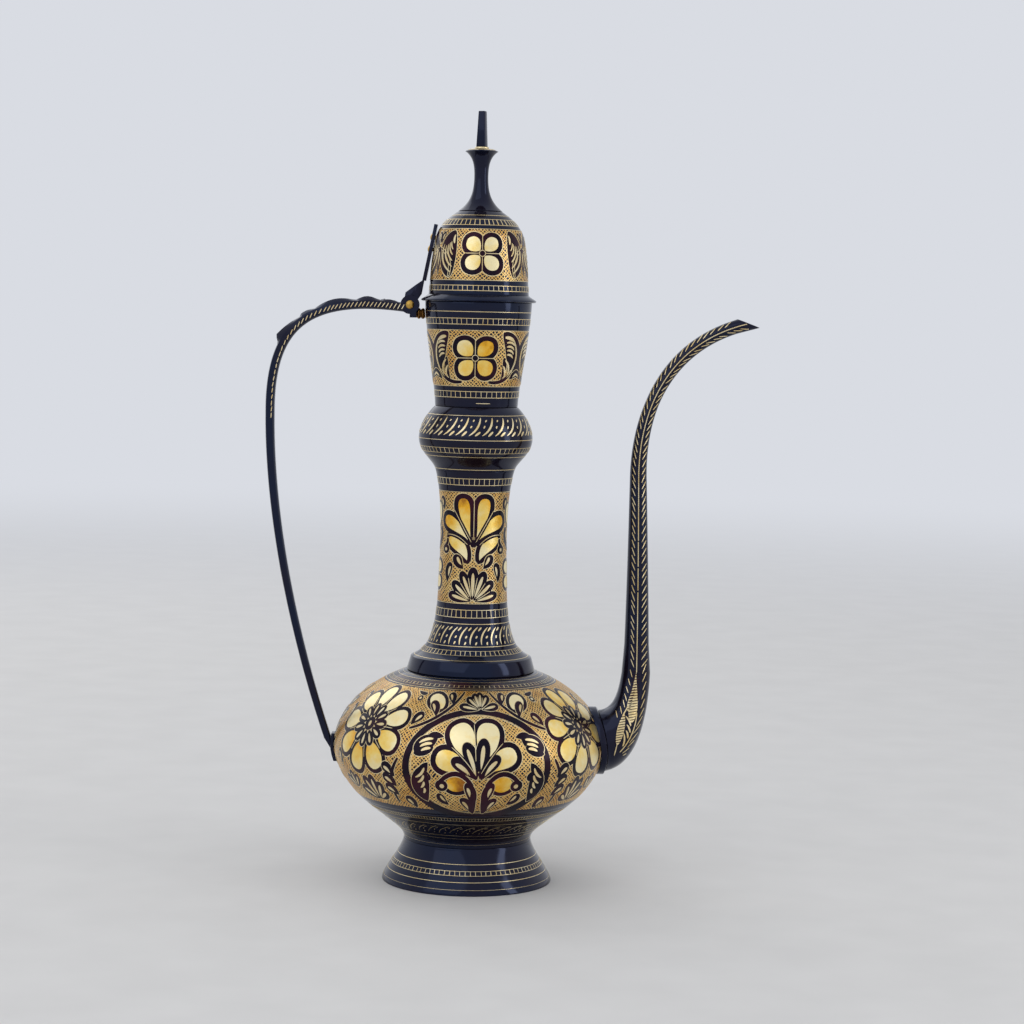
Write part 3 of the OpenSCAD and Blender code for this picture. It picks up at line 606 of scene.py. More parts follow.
class Panel:
    """A surface laid flat: shapes are drawn across and up, in mm, and then set on it."""

    def __init__(self, name, body, place, cell, both_sides=False):
        self.name = name
        self.body = body
        self.place = place
        self.cell = cell
        self.both_sides = both_sides
        self.sheets = {}
        self.count = 0
        self.moved(0, 0)

    def moved(self, across, up, turn=0.0, side=1):
        """Sets where the next shapes go: their centre, their turn and whether they are mirrored."""
        self.centre = Vector((across, up))
        self.turn = Matrix.Rotation(math.radians(turn), 2)
        self.side = side

    def put(self, point):
        """Where a point of a shape comes on the panel."""
        return self.centre + self.turn @ Vector((point[0] * self.side, point[1]))

    def fill(self, kind, left, right, shares=None):
        """A shape between two edges, with its share of stain and painted shade at each step from start to
        end.
        """
        shares = shares or [0.5] * len(left)
        sheet, lift = KINDS[kind]
        points, faces = self.sheets.setdefault(sheet, ([], []))
        wide = max((a - b).length for a, b in zip(left, right))
        columns = max(1, math.ceil(wide / self.cell))
        first = len(points)
        self.count += 1
        lift = lift + STAGGER * (self.count % STAGGER_STEPS)
        for a, b, share in zip(left, right, shares):
            for j in range(columns + 1):
                p = a.lerp(b, j / columns)
                points.append((p.x, p.y, lift, share))
        for i in range(len(left) - 1):
            for j in range(columns):
                k = first + i * (columns + 1) + j
                faces.append((k, k + 1, k + columns + 2, k + columns + 1))

    def band(self, kind, spine, halves):
        """A stroke along a spine, with its half-width at each step."""
        self.fill(kind, *sides_of(spine, halves))

    def leaf(self, kind, start, end, half, bend=0.0, taper=0.9, blunt=0.5, grow=0.0, stain_and_shade=(0.3, 0)):
        """A leaf from its point to its round end, its spine swung left by a share of its length."""
        a, b = self.put(start), self.put(end)
        steps = max(8, min(30, math.ceil(1.6 * (b - a).length / self.cell)))
        shares = [(1 - math.cos(math.pi * i / steps)) / 2 for i in range(steps + 1)]
        middle = (a + b) / 2 + 2 * bend * self.side * Vector((a.y - b.y, b.x - a.x))
        spine = [a * (1 - t) ** 2 + middle * (2 * t * (1 - t)) + b * t * t for t in shares]
        peak = taper / (taper + blunt)
        most = peak ** taper * (1 - peak) ** blunt
        halves = [half * t ** taper * (1 - t) ** blunt / most for t in shares]
        left, right = sides_of(spine, halves)
        if grow:
            left, right = widened(left, right, grow)
            shares = [0] + shares + [1]
        self.fill(kind, left, right, [stain_and_shade[0] + stain_and_shade[1] * (1 - t) for t in shares])

    def petal(self, start, end, half, bend, rim, amber=(0.0, 0.3), **form):
        """A bright petal with a dark outline and a thin bright line around it."""
        start, end, half = wavered(start), wavered(end), half * hand.uniform(0.95, 1.05)
        self.leaf("halo", start, end, half, bend, grow=rim + HALO, **form)
        self.leaf("outline", start, end, half, bend, grow=rim, **form)
        # Each petal's browning along its length is real staining and, on shaded flowers, painted shade
        browning_and_shade = (amber[0] + hand.uniform(-0.1, 0.1), amber[1] - amber[0] + hand.uniform(-0.1, 0.1))
        self.leaf("petal", start, end, half, bend, stain_and_shade=browning_and_shade, **form)

    def finger(self, start, end, half, bend=0.0, core=0.3, **form):
        """A dark drop with a bright edge and a bright stroke in it."""
        start, end, half = wavered(start), wavered(end), half * hand.uniform(0.93, 1.07)
        self.leaf("edge", start, end, half, bend, grow=EDGE, **form)
        self.leaf("finger", start, end, half, bend, **form)
        if core is not None:
            a, b = Vector(start), Vector(end)
            self.leaf("stroke", a.lerp(b, core), a.lerp(b, 0.82), half * 0.29, bend * 0.6)

    def split(self, start, end, band=0.0, bend=0.0):
        """A thin bright line between two shapes, on a dark band where one is given."""
        if band:
            self.leaf("finger", start, end, band, bend, 0.2, 0.2)
        self.leaf("stroke", start, end, 0.17, bend, 0.15, 0.15)

    def stroke(self, start, end, half, bend=0.0, taper=0.5, blunt=0.4):
        """A bright stroke."""
        self.leaf("stroke", wavered(start), wavered(end), half, bend, taper, blunt)

    def vine(self, start, end, half, bend=0.0):
        """A dark stem with a bright edge."""
        self.leaf("edge", start, end, half, bend, 0.15, 0.15, grow=0.35)
        self.leaf("finger", start, end, half, bend, 0.15, 0.15)

    def dot(self, centre, radius, kind="stroke"):
        """A round dot."""
        low = (centre[0], centre[1] - radius)
        high = (centre[0], centre[1] + radius)
        self.leaf(kind, low, high, radius, 0, 0.5, 0.5)

    def boss(self, centre, radius, edge=EDGE):
        """A dark dot with a bright edge."""
        self.dot(centre, radius + edge, "edge")
        self.dot(centre, radius, "finger")

    def loop(self, kind, up, wide, high, half):
        """A ring of even width along an oval, given the height of its centre and its half-axes."""
        turns = [-2 * math.pi * i / LOOP_STEPS for i in range(-1, LOOP_STEPS + 2)]
        spine = [self.put((wide * math.cos(turn), up + high * math.sin(turn))) for turn in turns]
        left, right = sides_of(spine, [half] * len(spine))
        self.fill(kind, left[1:-1], right[1:-1])

    def made(self):
        """Makes each sheet of shapes a piece of thin plates."""
        for sheet, (points, faces) in self.sheets.items():
            name = self.name + "_" + sheet
            placed = [self.place(u, v, lift) for u, v, lift, share in points]
            shares = [share for u, v, lift, share in points]
            if self.both_sides:
                behind = len(placed)
                placed = placed + [(x, -y, z) for x, y, z in placed]
                faces = faces + [tuple(behind + k for k in reversed(face)) for face in faces]
                shares = shares + shares
            piece = meshed(name, placed, faces)
            marks = piece.data.attributes.new("stain_and_shade", "FLOAT", "POINT")
            marks.data.foreach_set("value", shares)
            merged(piece, turn_out=False)
            applied(piece, "SOLIDIFY", thickness=PLATE * MM, offset=-1)
            material, slot = FINISHES[sheet]
            finished(piece, material, slot, self.body)


def wavered(point):
    """A point moved a little, as a hand-held graver strays."""
    return Vector((point[0] + hand.uniform(-WAVER, WAVER), point[1] + hand.uniform(-WAVER, WAVER)))


class RoundPanel(Panel):
    """A panel on a turned surface: across is the turn from the front times the middle radius."""

    def __init__(self, name, body, line, middle_z):
        self.line = sunk(line)
        self.run = [0]
        for a, b in zip(self.line, self.line[1:]):
            self.run.append(self.run[-1] + (b - a).length)
        self.zero = 0
        self.zero = self.up(middle_z)
        self.radius = radius_at(self.line, middle_z)
        self.girth = 2 * math.pi * self.radius
        super().__init__(name, body, self.on_turning, math.sqrt(8 * self.radius * SAG))

    def up(self, height):
        """How far a height lies above the panel's middle, along the surface."""
        return lookup(height, list(zip([p.y for p in self.line], self.run))) - self.zero

    def spot(self, up):
        """The radius, height and outward direction at a place along the surface."""
        run = min(max(up + self.zero, 0), self.run[-1])
        i = min(bisect_right(self.run, run), len(self.run) - 1) - 1
        share = (run - self.run[i]) / (self.run[i + 1] - self.run[i])
        point = self.line[i].lerp(self.line[i + 1], share)
        way = heading(self.line, i).lerp(heading(self.line, i + 1), share).normalized()
        return point, Vector((way.y, -way.x))

    def on_turning(self, across, up, lift):
        """The place on the turned surface, in mm."""
        point, out = self.spot(up)
        point = point + out * lift
        turn = across / self.radius - math.pi / 2
        return (point.x * math.cos(turn), point.x * math.sin(turn), point.y)

    def ring(self, height, half=0.14, kind="line"):
        """A line all round at a height."""
        up = self.up(height)
        spine = [Vector((self.girth * i / RING_STEPS, up)) for i in range(RING_STEPS + 1)]
        self.band(kind, spine, [half] * len(spine))

    def squeeze(self, up):
        """How much wider the flat panel is than the surface at a place."""
        return self.radius / self.spot(up)[0].x

    def ladder(self, low, high, pitch=2.6, half=0.15, line=0.14):
        """Two bright lines with rungs between them."""
        self.ring(low, line)
        self.ring(high, line)
        foot, head = self.up(low), self.up(high)
        wide = self.squeeze((foot + head) / 2)
        count = round(self.girth / (pitch * wide))
        for k in range(count):
            across = self.girth * (k + hand.uniform(-0.08, 0.08)) / count
            lean = hand.uniform(-0.12, 0.12)
            start, end = Vector((across - lean, foot)), Vector((across + lean, head))
            spine = [start.lerp(end, i / 4) for i in range(5)]
            self.band("line", spine, [half * wide * hand.uniform(0.75, 1.1)] * 5)

    def hatch(self, low, high, pitch, half):
        """A fine crossed hatching all round, between two heights, uneven as a hand cuts it."""
        foot, head = self.up(low), self.up(high)
        rise = head - foot
        count = round(self.girth / (pitch * math.sqrt(2)))
        rows = max(2, math.ceil(rise / self.cell))
        for k in range(count):
            for lean in (-1, 1):
                across = self.girth * k / count
                stray = [hand.uniform(-0.38, 0.38) * pitch for i in range(rows + 1)]
                spine = [Vector((across + stray[i] + lean * rise * i / rows, foot + rise * i / rows))
                         for i in range(rows + 1)]
                self.band("hatch", spine, [half * hand.uniform(0.6, 1.3) for i in range(rows + 1)])

    def feathers(self, middle, period, marks):
        """A band of slanted strokes, repeated all round."""
        up = self.up(middle)
        wide = self.squeeze(up)
        count = round(self.girth / (period * wide))
        for k in range(count):
            self.moved(self.girth * k / count, up)
            for start, end, half, swing in marks:
                start, end = wavered((start[0] * wide, start[1])), wavered((end[0] * wide, end[1]))
                self.leaf("line", start, end, half, swing, 0.5, 0.4)


# Foot
foot_panel = RoundPanel("foot_cuts", "vessel", foot_line, 12)
foot_panel.ring(14.2, 0.12)
foot_panel.ladder(9.2, 11.2, 2.6, 0.13, 0.1)
foot_panel.ring(6.3, 0.12)
foot_panel.ring(2.9, 0.05)
foot_panel.made()

# Waist and lower body
base_panel = RoundPanel("base_cuts", "vessel", base_line, 33)
base_panel.ring(23.4, 0.03)
base_panel.ring(27.0, 0.05)
base_panel.feathers(32.5, 5.9, [((-2.8, -3.6), (4.0, 3.6), 0.19, 0.09), ((1.5, -0.7), (2.0, 0.1), 0.26, 0.0),
                                ((0.5, -3.5), (1.1, -2.8), 0.26, 0.0), ((2.9, 1.5), (4.3, 2.3), 0.17, 0.0)])
base_panel.ring(28.8, 0.06)
base_panel.ring(36.2, 0.09)
base_panel.ladder(38.8, 40.4, 1.5, 0.11, 0.08)
base_panel.made()


# Body
def medallion(panel, centre):
    """The oval with its palmette and its four sprigs."""
    panel.moved(centre, 0)
    panel.loop("halo", 0.5, 36, 29.4, 2.0)
    panel.loop("outline", 0.5, 36, 29.4, 1.75)
    panel.loop("outline", -0.4, 36.2, 30.3, 1.75)
    panel.loop("halo", 0.5, 33.4, 26.9, 0.18)
    for start, end, half, bend, amber, taper in (((-2.5, -1), (-11, 22.4), 5.9, -0.03, (0.0, 0.2), 1.2),
                                                 ((1.5, -1), (6.2, 23.4), 5.7, -0.02, (0.0, 0.2), 1.2),
                                                 ((-3, -2.5), (-20.4, 5.4), 5.0, -0.06, (0.3, 0.6), 1.0),
                                                 ((3, -2), (19, 7.6), 4.9, 0.06, (0.12, 0.75), 1.0)):
        panel.petal(start, end, half, bend, 2.7, amber, taper=taper, blunt=0.42)
    panel.finger((-0.3, -5), (-6.6, 13), 3.3, -0.04, 0.1, taper=1.0)
    panel.finger((0.8, -5), (3.2, 15.2), 3.3, 0.0, 0.25, taper=1.0)
    panel.finger((-0.6, -5.5), (-13.2, 4.2), 3.3, -0.1, 0.25, taper=0.9)
    panel.finger((1.4, -5.5), (11, 6), 3.4, 0.1, 0.2, taper=0.9)
    panel.split((-1, 4), (-1.9, 22.5))
    panel.split((-0.8, -3), (-13, 10.4), 0.7, -0.04)
    panel.split((1.6, -2), (12.6, 12.6), 0.7, 0.04)
    for side in (-1, 1):
        panel.moved(centre + 1.0, 0, 0, side)
        panel.petal((6, -8), (16.5, -8.6), 4.3, 0.05, 2.2, (0.5, 0.95), taper=0.5, blunt=0.5)
        panel.vine((3.2, -9), (20.6, -8), 1.2, 0.36)
        panel.vine((2.8, -27), (3.2, -9), 0.8, 0.05)
        panel.finger((3, -22), (6.8, -6.8), 2.8, 0.08, 0.45)
        panel.finger((3.4, -27), (9.6, -16.4), 2.6, 0.12, 0.3)
        panel.boss((18.9, -8.8), 3.2)
        panel.dot((18.6, -9), 1.15)
        panel.finger((15.6, -20.5), (20.8, -13.2), 2.4, -0.12, 0.3)
        panel.finger((25.4, 2.6), (28.8, -3.4), 2.2, 0.05, None)
        panel.finger((29.5, -1.5), (24.8, -6.4), 2.0, -0.1, None)
        panel.finger((27.2, -19), (27.4, 1.0), 4.5, -0.12, None, taper=0.8, blunt=0.7)
        for k in range(4):
            panel.stroke((32.0 - 1.1 * k, -5 - 2.9 * k), (27.3 + 0.2 * k, 0.0 - 3.6 * k), 0.66, 0.14)
        panel.finger((18.4, 15.2), (26.6, 15.0), 2.0, 0.1, None)
        panel.finger((33.2, 6.4), (23.4, 10.6), 2.6, 0.04, None, taper=0.6, blunt=0.5)
        panel.finger((33, 7.5), (21.4, 15.0), 4.2, -0.05, None, taper=0.6, blunt=0.7)
        for k in range(3):
            panel.stroke((30.8 - 0.7 * k, 11.6 - 1.8 * k), (23.6 + 0.5 * k, 14.0 - 2.3 * k), 0.72, -0.1)


def spray(panel, centre):
    """The fan above the oval, with its vines and curled flowers."""
    tips = ((-13, 2.4), (-8.5, 8.6), (-3.6, 11.6), (0.4, 12.8), (5.6, 10.2), (11.6, 3))
    fan(panel, centre + 2, 30.8, tips, 2.7)
    for side in (-1, 1):
        panel.moved(centre + 0.5, 0, 0, side)
        panel.vine((9, 43.5), (38, 18.5), 0.9, -0.1)
        panel.petal((22, 31), (32, 38.5), 4.5, 0.12, 2.2, (0.0, 0.2), taper=0.6, blunt=0.5)
        panel.finger((24.5, 26), (29.5, 35.5), 2.6, 0.12)
        panel.boss((39.5, 37), 2.0)
        panel.dot((39.5, 37), 0.9)
        panel.finger((44, 42.5), (36, 40.5), 1.3, 0.1, None)
        panel.finger((16, 34.5), (19, 42.5), 2.7, 0.12)
        panel.finger((37.5, 20.5), (31.6, 27.5), 2.7, -0.1)


def fan(panel, across, up, tips, half):
    """Dark leaves spread from one point, each with a long bright stroke."""
    panel.moved(across, up)
    for x, y in tips:
        reach = math.hypot(x, y)
        panel.finger((x / reach, y / reach), (x, y), half, 0, 0.08, taper=1.0)
    for near, far in zip(tips, tips[1:]):
        between = (Vector(near) + Vector(far)) / 2
        panel.split(between * 0.2, between * 0.74)


def rosette(panel, across, up, side):
    """A flower of nine bright petals around a ring of dark fingers, more even on the right, where every
    petal is browner as painted shade.
    """
    # Painted shade: each petal of the right-hand flower starts browner; on the left the lower petals brown
    # more along their length than the upper ones
    lower, upper = ((0.15, 0.45), (0.2, 0.4)) if side > 0 else ((0.1, 0.8), (0.0, 0.15))
    for k in range(9):
        amber = lower if 3 <= k <= 6 else upper
        panel.moved(across, up, 40 * k + 8, side)
        panel.petal((0, 9.5), (hand.uniform(-1, 1), hand.uniform(23, 24.6)), 4.9, 0, 2.2, amber,
                    taper=0.75, blunt=0.42)
        panel.moved(across, up, 40 * k + 28, side)
        panel.split((0, 11), (0, 17))
    for k in range(11):
        panel.moved(across, up, 360 * k / 11 + 12, side)
        panel.finger((0, 3.6), (0, 12.2), 2.6, 0, 0.2, taper=0.75)
    panel.moved(across, up, 0, side)
    panel.boss((0, 0), 3.7, 0.4)
    panel.leaf("stroke", (0, -1.5), (0, 1.5), 1.0, 0, 0.5, 0.5)


def leaf_cluster(panel, centre, side):
    """The leaves under a rosette."""
    panel.moved(centre, 0, 0, side)
    panel.vine((40.5, 3.5), (44.5, -22), 0.9, 0.1)
    for up in (-14.5, -9, -3.5):
        panel.finger((42.6, up - 2.5), (50, up + 3), 2.8, 0.1)
    for across, up in ((-7.5, 5.5), (-5, 11.5), (0.5, 15), (6.5, 13.5), (11.5, 7)):
        panel.finger((58.5 + 0.1 * across, -22), (58.5 + across, -22 + up), 3.0, 0, 0.1)
    panel.finger((34, -24.5), (39, -17.5), 2.8, 0.12)
    for across, up in ((-4, 8), (2, 9.5), (7.5, 6)):
        panel.finger((75 + 0.1 * across, -17), (75 + across, -17 + up), 2.5, 0, 0.1)
    panel.finger((84, -6), (88, 2), 2.0, 0.1)
    panel.finger((84, 28), (90, 35), 2.2, 0.1)
    panel.finger((88, 17), (93, 26), 2.0, 0.1)


def stem_of_leaves(panel, across):
    """A leafy stem between two rosettes."""
    for side in (-1, 1):
        panel.moved(across, 0, 0, side)
        for up in range(-18, 30, 8):
            panel.finger((0.8, up), (7, up + 6.5), 2.5, 0.1)
    panel.moved(across, 0)
    panel.vine((0, -22), (0, 32), 0.8)
    panel.finger((0, 31), (0, 39), 2.5)


bowl_panel = RoundPanel("bowl_cuts", "vessel", bowl_line, belly_z)
bowl_panel.hatch(45.4, 101.7, 1.35, 0.3)
half_girth = bowl_panel.girth / 2
MEDALLION_AT = 5.5
ROSETTE_OUT = 64.5
ROSETTE_UP = 18
for centre in (MEDALLION_AT, MEDALLION_AT + half_girth):
    medallion(bowl_panel, centre)
    spray(bowl_panel, centre)
    for side in (-1, 1):
        leaf_cluster(bowl_panel, centre, side)
        rosette(bowl_panel, centre + ROSETTE_OUT * side, ROSETTE_UP, side)
stem_of_leaves(bowl_panel, MEDALLION_AT - half_girth / 2)
bowl_panel.ring(103.6, 3.3, "film")
bowl_panel.ring(102.2)
bowl_panel.ladder(102.95, 103.85, 2.5, 0.16, 0.05)
bowl_panel.ring(105.0, 0.1)
bowl_panel.ring(105.9, 0.06)
bowl_panel.made()


# Lower neck
def neck_palmette(panel, centre):
    """The tall palmette of the lower neck."""
    for side in (-1, 1):
        panel.moved(centre, 0, 0, side)
        panel.petal((0.9, 2.5), (5.4, 24.7), 2.9, -0.03, 2.5, (0.72, 0.1), taper=1.5, blunt=0.4)
        panel.petal((2.8, 4), (16.2, 14.2), 3.2, 0.08, 2.4, (0.75, 0.05), taper=1.3, blunt=0.4)
        panel.petal((3.1, -6.2), (13.4, 4.6), 3.1, 0.13, 2.0, (0.45, 0.1), taper=1.0, blunt=0.5)
        panel.split((1.2, 3), (9.8, 18.4), 1.0)
        panel.split((3, 1.5), (15, 6.2), 1.15, 0.14)
        panel.vine((14.4, 4.4), (16.4, 0.6), 0.8, -0.2)
        panel.boss((15.5, -1), 2.4)
        panel.dot((15.5, -1.2), 0.85)
        panel.finger((4.8, -10.4), (8.8, -3.2), 2.5, -0.12, 0.25)
        panel.finger((17.6, 18.2), (18.8, 25), 2.0, 0.1)
        panel.finger((13.5, -17.5), (11.4, -7.8), 2.3, -0.1, 0.3)
    panel.moved(centre, 0)
    panel.split((0, 4), (0, 25))
    tips = ((-12.4, 3.8), (-10.4, 10.2), (-5.8, 15.4), (0, 17.6), (6, 15.4), (10.6, 10.4), (12.6, 4))
    fan(panel, centre, -27, tips, 2.6)


CREAM = ((0.0, 0.25),) * 4
AMBER = ((0.15, 0.55), (0.15, 0.5), (0.6, 0.55), (0.6, 0.55))


def quatrefoil(panel, across, up, reach, half, rim, ambers):
    """Four heart-broad petals on the diagonals, around a small dark boss."""
    for k in range(4):
        panel.moved(across, up, 90 * k + 45)
        panel.petal((0, reach * 0.18), (0, reach), half, 0, rim, ambers[k], taper=0.8, blunt=0.6)
    for k in range(4):
        panel.moved(across, up, 90 * k)
        panel.split((0, 1.6), (0, reach * 0.86))
    panel.moved(across, up)
    panel.boss((0, 0), 1.35, 0.35)


neck_panel = RoundPanel("neck_cuts", "vessel", neck_line, 169.4)
neck_panel.hatch(142, 196.8, 1.25, 0.26)
neck_panel.ring(114.4)
neck_panel.ladder(116.6, 118.7, 2.5, 0.18, 0.08)
neck_panel.ring(120.7)
neck_panel.feathers(126, 5.2, [((0, -4.7), (3.5, 4.3), 0.34, 0.12), ((-1.5, 2.3), (0.1, 4.2), 0.36, 0),
                               ((-2.7, -1.3), (-2.0, 0.0), 0.36, 0), ((-2.8, -4.7), (-2.4, -3.1), 0.32, 0)])
neck_panel.ring(131.6)
neck_panel.ladder(134.7, 138.5)
neck_panel.ring(141.7)
neck_quarter = neck_panel.girth / 4
for centre in (0.3, 0.3 + 2 * neck_quarter):
    neck_palmette(neck_panel, centre)
for centre in (-neck_quarter, neck_quarter):
    quatrefoil(neck_panel, centre, -14, 8.4, 3.0, 1.7, CREAM)
    for side in (-1, 1):
        neck_panel.moved(centre, 0, 0, side)
        neck_panel.finger((1, -2), (6, 10), 2.0, -0.15)
        neck_panel.petal((1.5, 10), (4.2, 22), 2.0, -0.1, rim=1.0)
neck_panel.ring(197.1)
neck_panel.ladder(200.6, 203.8)
neck_panel.made()

# Bulge
bulge_panel = RoundPanel("bulge_cuts", "vessel", bulge_line, bulge_mid_z)
bulge_panel.ring(208.3)
bulge_panel.ring(214.8)
bulge_panel.ladder(216.8, 219.3, 2.6, 0.14, 0.1)
bulge_panel.ring(223.2)
bulge_panel.feathers(230, 6.3, [((-3.0, -4.6), (2.8, 4.9), 0.5, -0.13), ((0.0, -4.9), (2.5, -2.6), 0.5, 0),
                                ((-2.1, -0.9), (-1.4, 0.5), 0.38, 0), ((-1.2, 2.5), (-0.4, 3.8), 0.38, 0)])
bulge_panel.ring(235.2)
bulge_panel.made()


# Mouth
def plume(panel, body, strokes):
    """A dark plume of curved strokes beside a quatrefoil."""
    start, end, half, swing = body
    panel.leaf("halo", start, end, half, swing, 0.6, 0.6, grow=HALO)
    panel.leaf("outline", start, end, half, swing, 0.6, 0.6)
    for start, end, half, swing in strokes:
        panel.stroke(start, end, half, swing)


mouth_panel = RoundPanel("mouth_cuts", "vessel", mouth_line, 263.3)
mouth_panel.hatch(249.8, 277, 1.3, 0.25)
mouth_panel.ladder(244, 247)
mouth_panel.ring(249.6)
mouth_plume = [((17.6, -9.2), (19.2, 10), 0.55, -0.22), ((20, 8.6), (14.4, 10.8), 0.85, -0.1),
               ((17.8, -8.2), (15.6, -0.6), 0.6, -0.18), ((16, -8.8), (14.8, -3.4), 0.5, -0.12)]
mouth_plume += [((20.6 - 0.12 * k, 6.6 - 2.1 * k), (15.4 + 0.3 * k, 7.9 - 1.9 * k), 0.55, -0.18)
                for k in range(4)]
for k in range(3):
    centre = mouth_panel.girth * k / 3 - 0.7
    for side in (-1, 1):
        mouth_panel.moved(centre, 0, 0, side)
        mouth_panel.vine((7, -11.6), (20.5, -6), 0.9, -0.16)
        mouth_panel.finger((19.5, -10.4), (26.8, -6.6), 1.8, 0.1, 0.3)
        plume(mouth_panel, ((19, -9.5), (13.4, 13), 5.0, -0.2), mouth_plume)
        mouth_panel.finger((13.6, -11), (15, 0.8), 1.2, -0.1, None)
    quatrefoil(mouth_panel, centre, 0.2, 11.2, 3.8, 2.4, AMBER)
mouth_panel.moved(0, 0)
mouth_panel.ring(277.1)
mouth_panel.ladder(280, 282.9)
mouth_panel.ring(286.2)
mouth_panel.split((0, mouth_panel.up(241.2)), (8, mouth_panel.up(241.2)))
mouth_panel.made()

# Lid
dome_panel = RoundPanel("dome_cuts", "lid", dome_line, 314)
dome_panel.hatch(301.8, 326.5, 1.3, 0.25)
dome_panel.ladder(296.5, 299)
dome_panel.ring(301.6)
dome_plume = [((21.2, 5.2), (15.9, -8.9), 0.5, 0.2), ((19.6, 4.6), (15.2, -6.2), 0.48, 0.18),
              ((18.4, 5.2), (15.2, -3.2), 0.46, 0.16), ((17.4, 5.8), (15.2, -0.4), 0.42, 0.14),
              ((16.6, 6.4), (15.2, 2.4), 0.38, 0.12), ((14.6, 10), (14.9, 5.4), 0.6, 0.1)]
for k in range(3):
    centre = dome_panel.girth * k / 3 + 1.7
    for side in (-1, 1):
        dome_panel.moved(centre, 0, 0, side)
        dome_panel.vine((23.4, 3), (17, -10.4), 0.5, -0.2)
        plume(dome_panel, ((16.4, -11), (15.2, 12), 5.2, -0.12), dome_plume)
    quatrefoil(dome_panel, centre, 0.7, 10.4, 3.6, 2.4, CREAM)
    dome_panel.moved(dome_panel.girth * (k + 0.5) / 3 + 1.7, 0)
    dome_panel.finger((0, -10), (0, 4), 1.6, 0, 0.3)
    dome_panel.finger((0.6, 5.5), (2.4, 11.5), 1.3, 0.1)
    dome_panel.finger((-0.6, 5.5), (-2.4, 11.5), 1.3, -0.1)
dome_panel.ring(326.7)
dome_panel.ladder(328.7, 331.5, 2.3, 0.24, 0.16)
dome_panel.ring(333.6, 0.2)
dome_panel.made()


# Spout's cuts, drawn in front view and copied behind
HOOP_PARTS = 20
EDGE_ON = 0.98


def past(here, over, under):
    """How far a place in front view lies past a hoop, times the hoop's width."""
    line = under - over
    return line.x * (here.y - over.y) - line.y * (here.x - over.x)


def on_spout(x, z, lift):
    """The near side of the spout at a place in front view."""
    here = Vector((x, z))
    low, high = 0, len(hoops) - 1
    while high - low > 1:
        middle = (low + high) // 2
        if past(here, *hoops[middle]) >= 0:
            low = middle
        else:
            high = middle
    between = [[a.lerp(b, i / HOOP_PARTS) for a, b in zip(hoops[low], hoops[high])]
               for i in range(HOOP_PARTS + 1)]
    nearest = min(between, key=lambda hoop: abs(past(here, *hoop)) / (hoop[1] - hoop[0]).length)
    centre, half, out = hoop_frame(*nearest)
    cosine = max(-EDGE_ON, min(EDGE_ON, (here - centre).dot(out) / half))
    sine = math.sqrt(1 - cosine * cosine)
    flat = centre + out * (half + lift) * cosine
    return (flat.x, -(half + lift) * sine, flat.y)


spout_panel = Panel("spout_cuts", "vessel", on_spout, 1.2, both_sides=True)


def spaced(line, gap):
    """Places at even steps along a line, each with its direction."""
    left = gap
    for i in range(1, len(line)):
        step = (line[i] - line[i - 1]).length
        while left <= step:
            yield line[i - 1].lerp(line[i], left / step), heading(line, i)
            left += gap
        left -= step


BREAKS = (148, 160.2, 173)
spots = [place for place, way in spaced(riser, 1.0)]
for start, end in zip(spots, spots[1:-1]):
    if min(abs(start.y - height) for height in BREAKS) > 0.5:
        spout_panel.leaf("stroke", start, end, 0.21, 0, 0.05, 0.05)
for place, way in spaced(riser, 3.7):
    out = Vector((-way.y, way.x))
    wide = lookup(place.y, riser_radii)
    for near, far in ((1.45, 3.05), (-0.34 * wide, -0.76 * wide)):
        start = place + way * hand.uniform(-0.5, 0.5)
        end = start + way * hand.uniform(3.9, 4.7)
        if (end + out * far - tip).dot(tip_slant) < -0.6 and (end - tip).dot(tip_way) < 0:
            spout_panel.stroke(start + out * near, end + out * far, 0.18, 0, 0.35, 0.35)


def barred_leaf(start, end, half, taper=1.1):
    """A bright leaf on the spout's root, crossed by dark bars."""
    spout_panel.leaf("halo", start, end, half, 0, taper, 0.6)
    a, b = Vector(start), Vector(end)
    count = round((b - a).length / 1.3)
    for k in range(1, count):
        spot = a.lerp(b, k / count)
        near, far = (spot.x - half, spot.y - 0.3), (spot.x + half, spot.y + 0.3)
        spout_panel.leaf("outline", near, far, 0.2, 0, 0.15, 0.15)


barred_leaf((83.2, 109.6), (81.2, 83.2), 2.2, 1.7)
barred_leaf((82.6, 103), (79.2, 88.8), 1.1, 1.7)
barred_leaf((77.4, 87.4), (74.1, 72.2), 1.75, 0.7)
spout_panel.stroke((74.1, 73), (72.8, 66.8), 0.24)
spout_panel.stroke((79.9, 92.4), (76.4, 86), 0.28)
spout_panel.stroke((83.8, 88), (75.6, 68.3), 0.26, 0.09, 0.15, 0.15)
for start, end in (((78.1, 86.4), (80.7, 81.5)), ((78.6, 82.3), (80.4, 78.2)), ((78.4, 79.6), (79.3, 75.3)),
                   ((77.1, 78.1), (76.9, 71.5))):
    spout_panel.stroke(start, end, 0.42, 0.1)
for start, end in (((83.6, 80.9), (86.8, 86)), ((82, 77.4), (85.9, 82)), ((80.1, 72.8), (84.5, 77.9)),
                   ((79.5, 70.7), (82.9, 74.1)), ((76.9, 67.8), (80.3, 70.3)), ((77.3, 66.5), (78.9, 67.5)),
                   ((85, 85.5), (87.4, 90.2)), ((85.6, 90), (87.6, 94.6)), ((86, 94.5), (87.8, 99)),
                   ((86.3, 99), (88, 103.4)), ((86.2, 103.0), (88, 107.8)), ((86.2, 107.2), (87.9, 112)),
                   ((81.2, 105.2), (80.1, 109.4)), ((79.4, 97.4), (78.4, 100.8)),
                   ((78.5, 93.6), (77.6, 97.2)), ((77.6, 90.6), (76.8, 94)), ((76.2, 87.2), (75.4, 91)),
                   ((73.9, 85.2), (73.4, 88.8)), ((80.2, 101.2), (79.2, 104.8))):
    spout_panel.stroke(start, end, 0.19)
spout_panel.made()

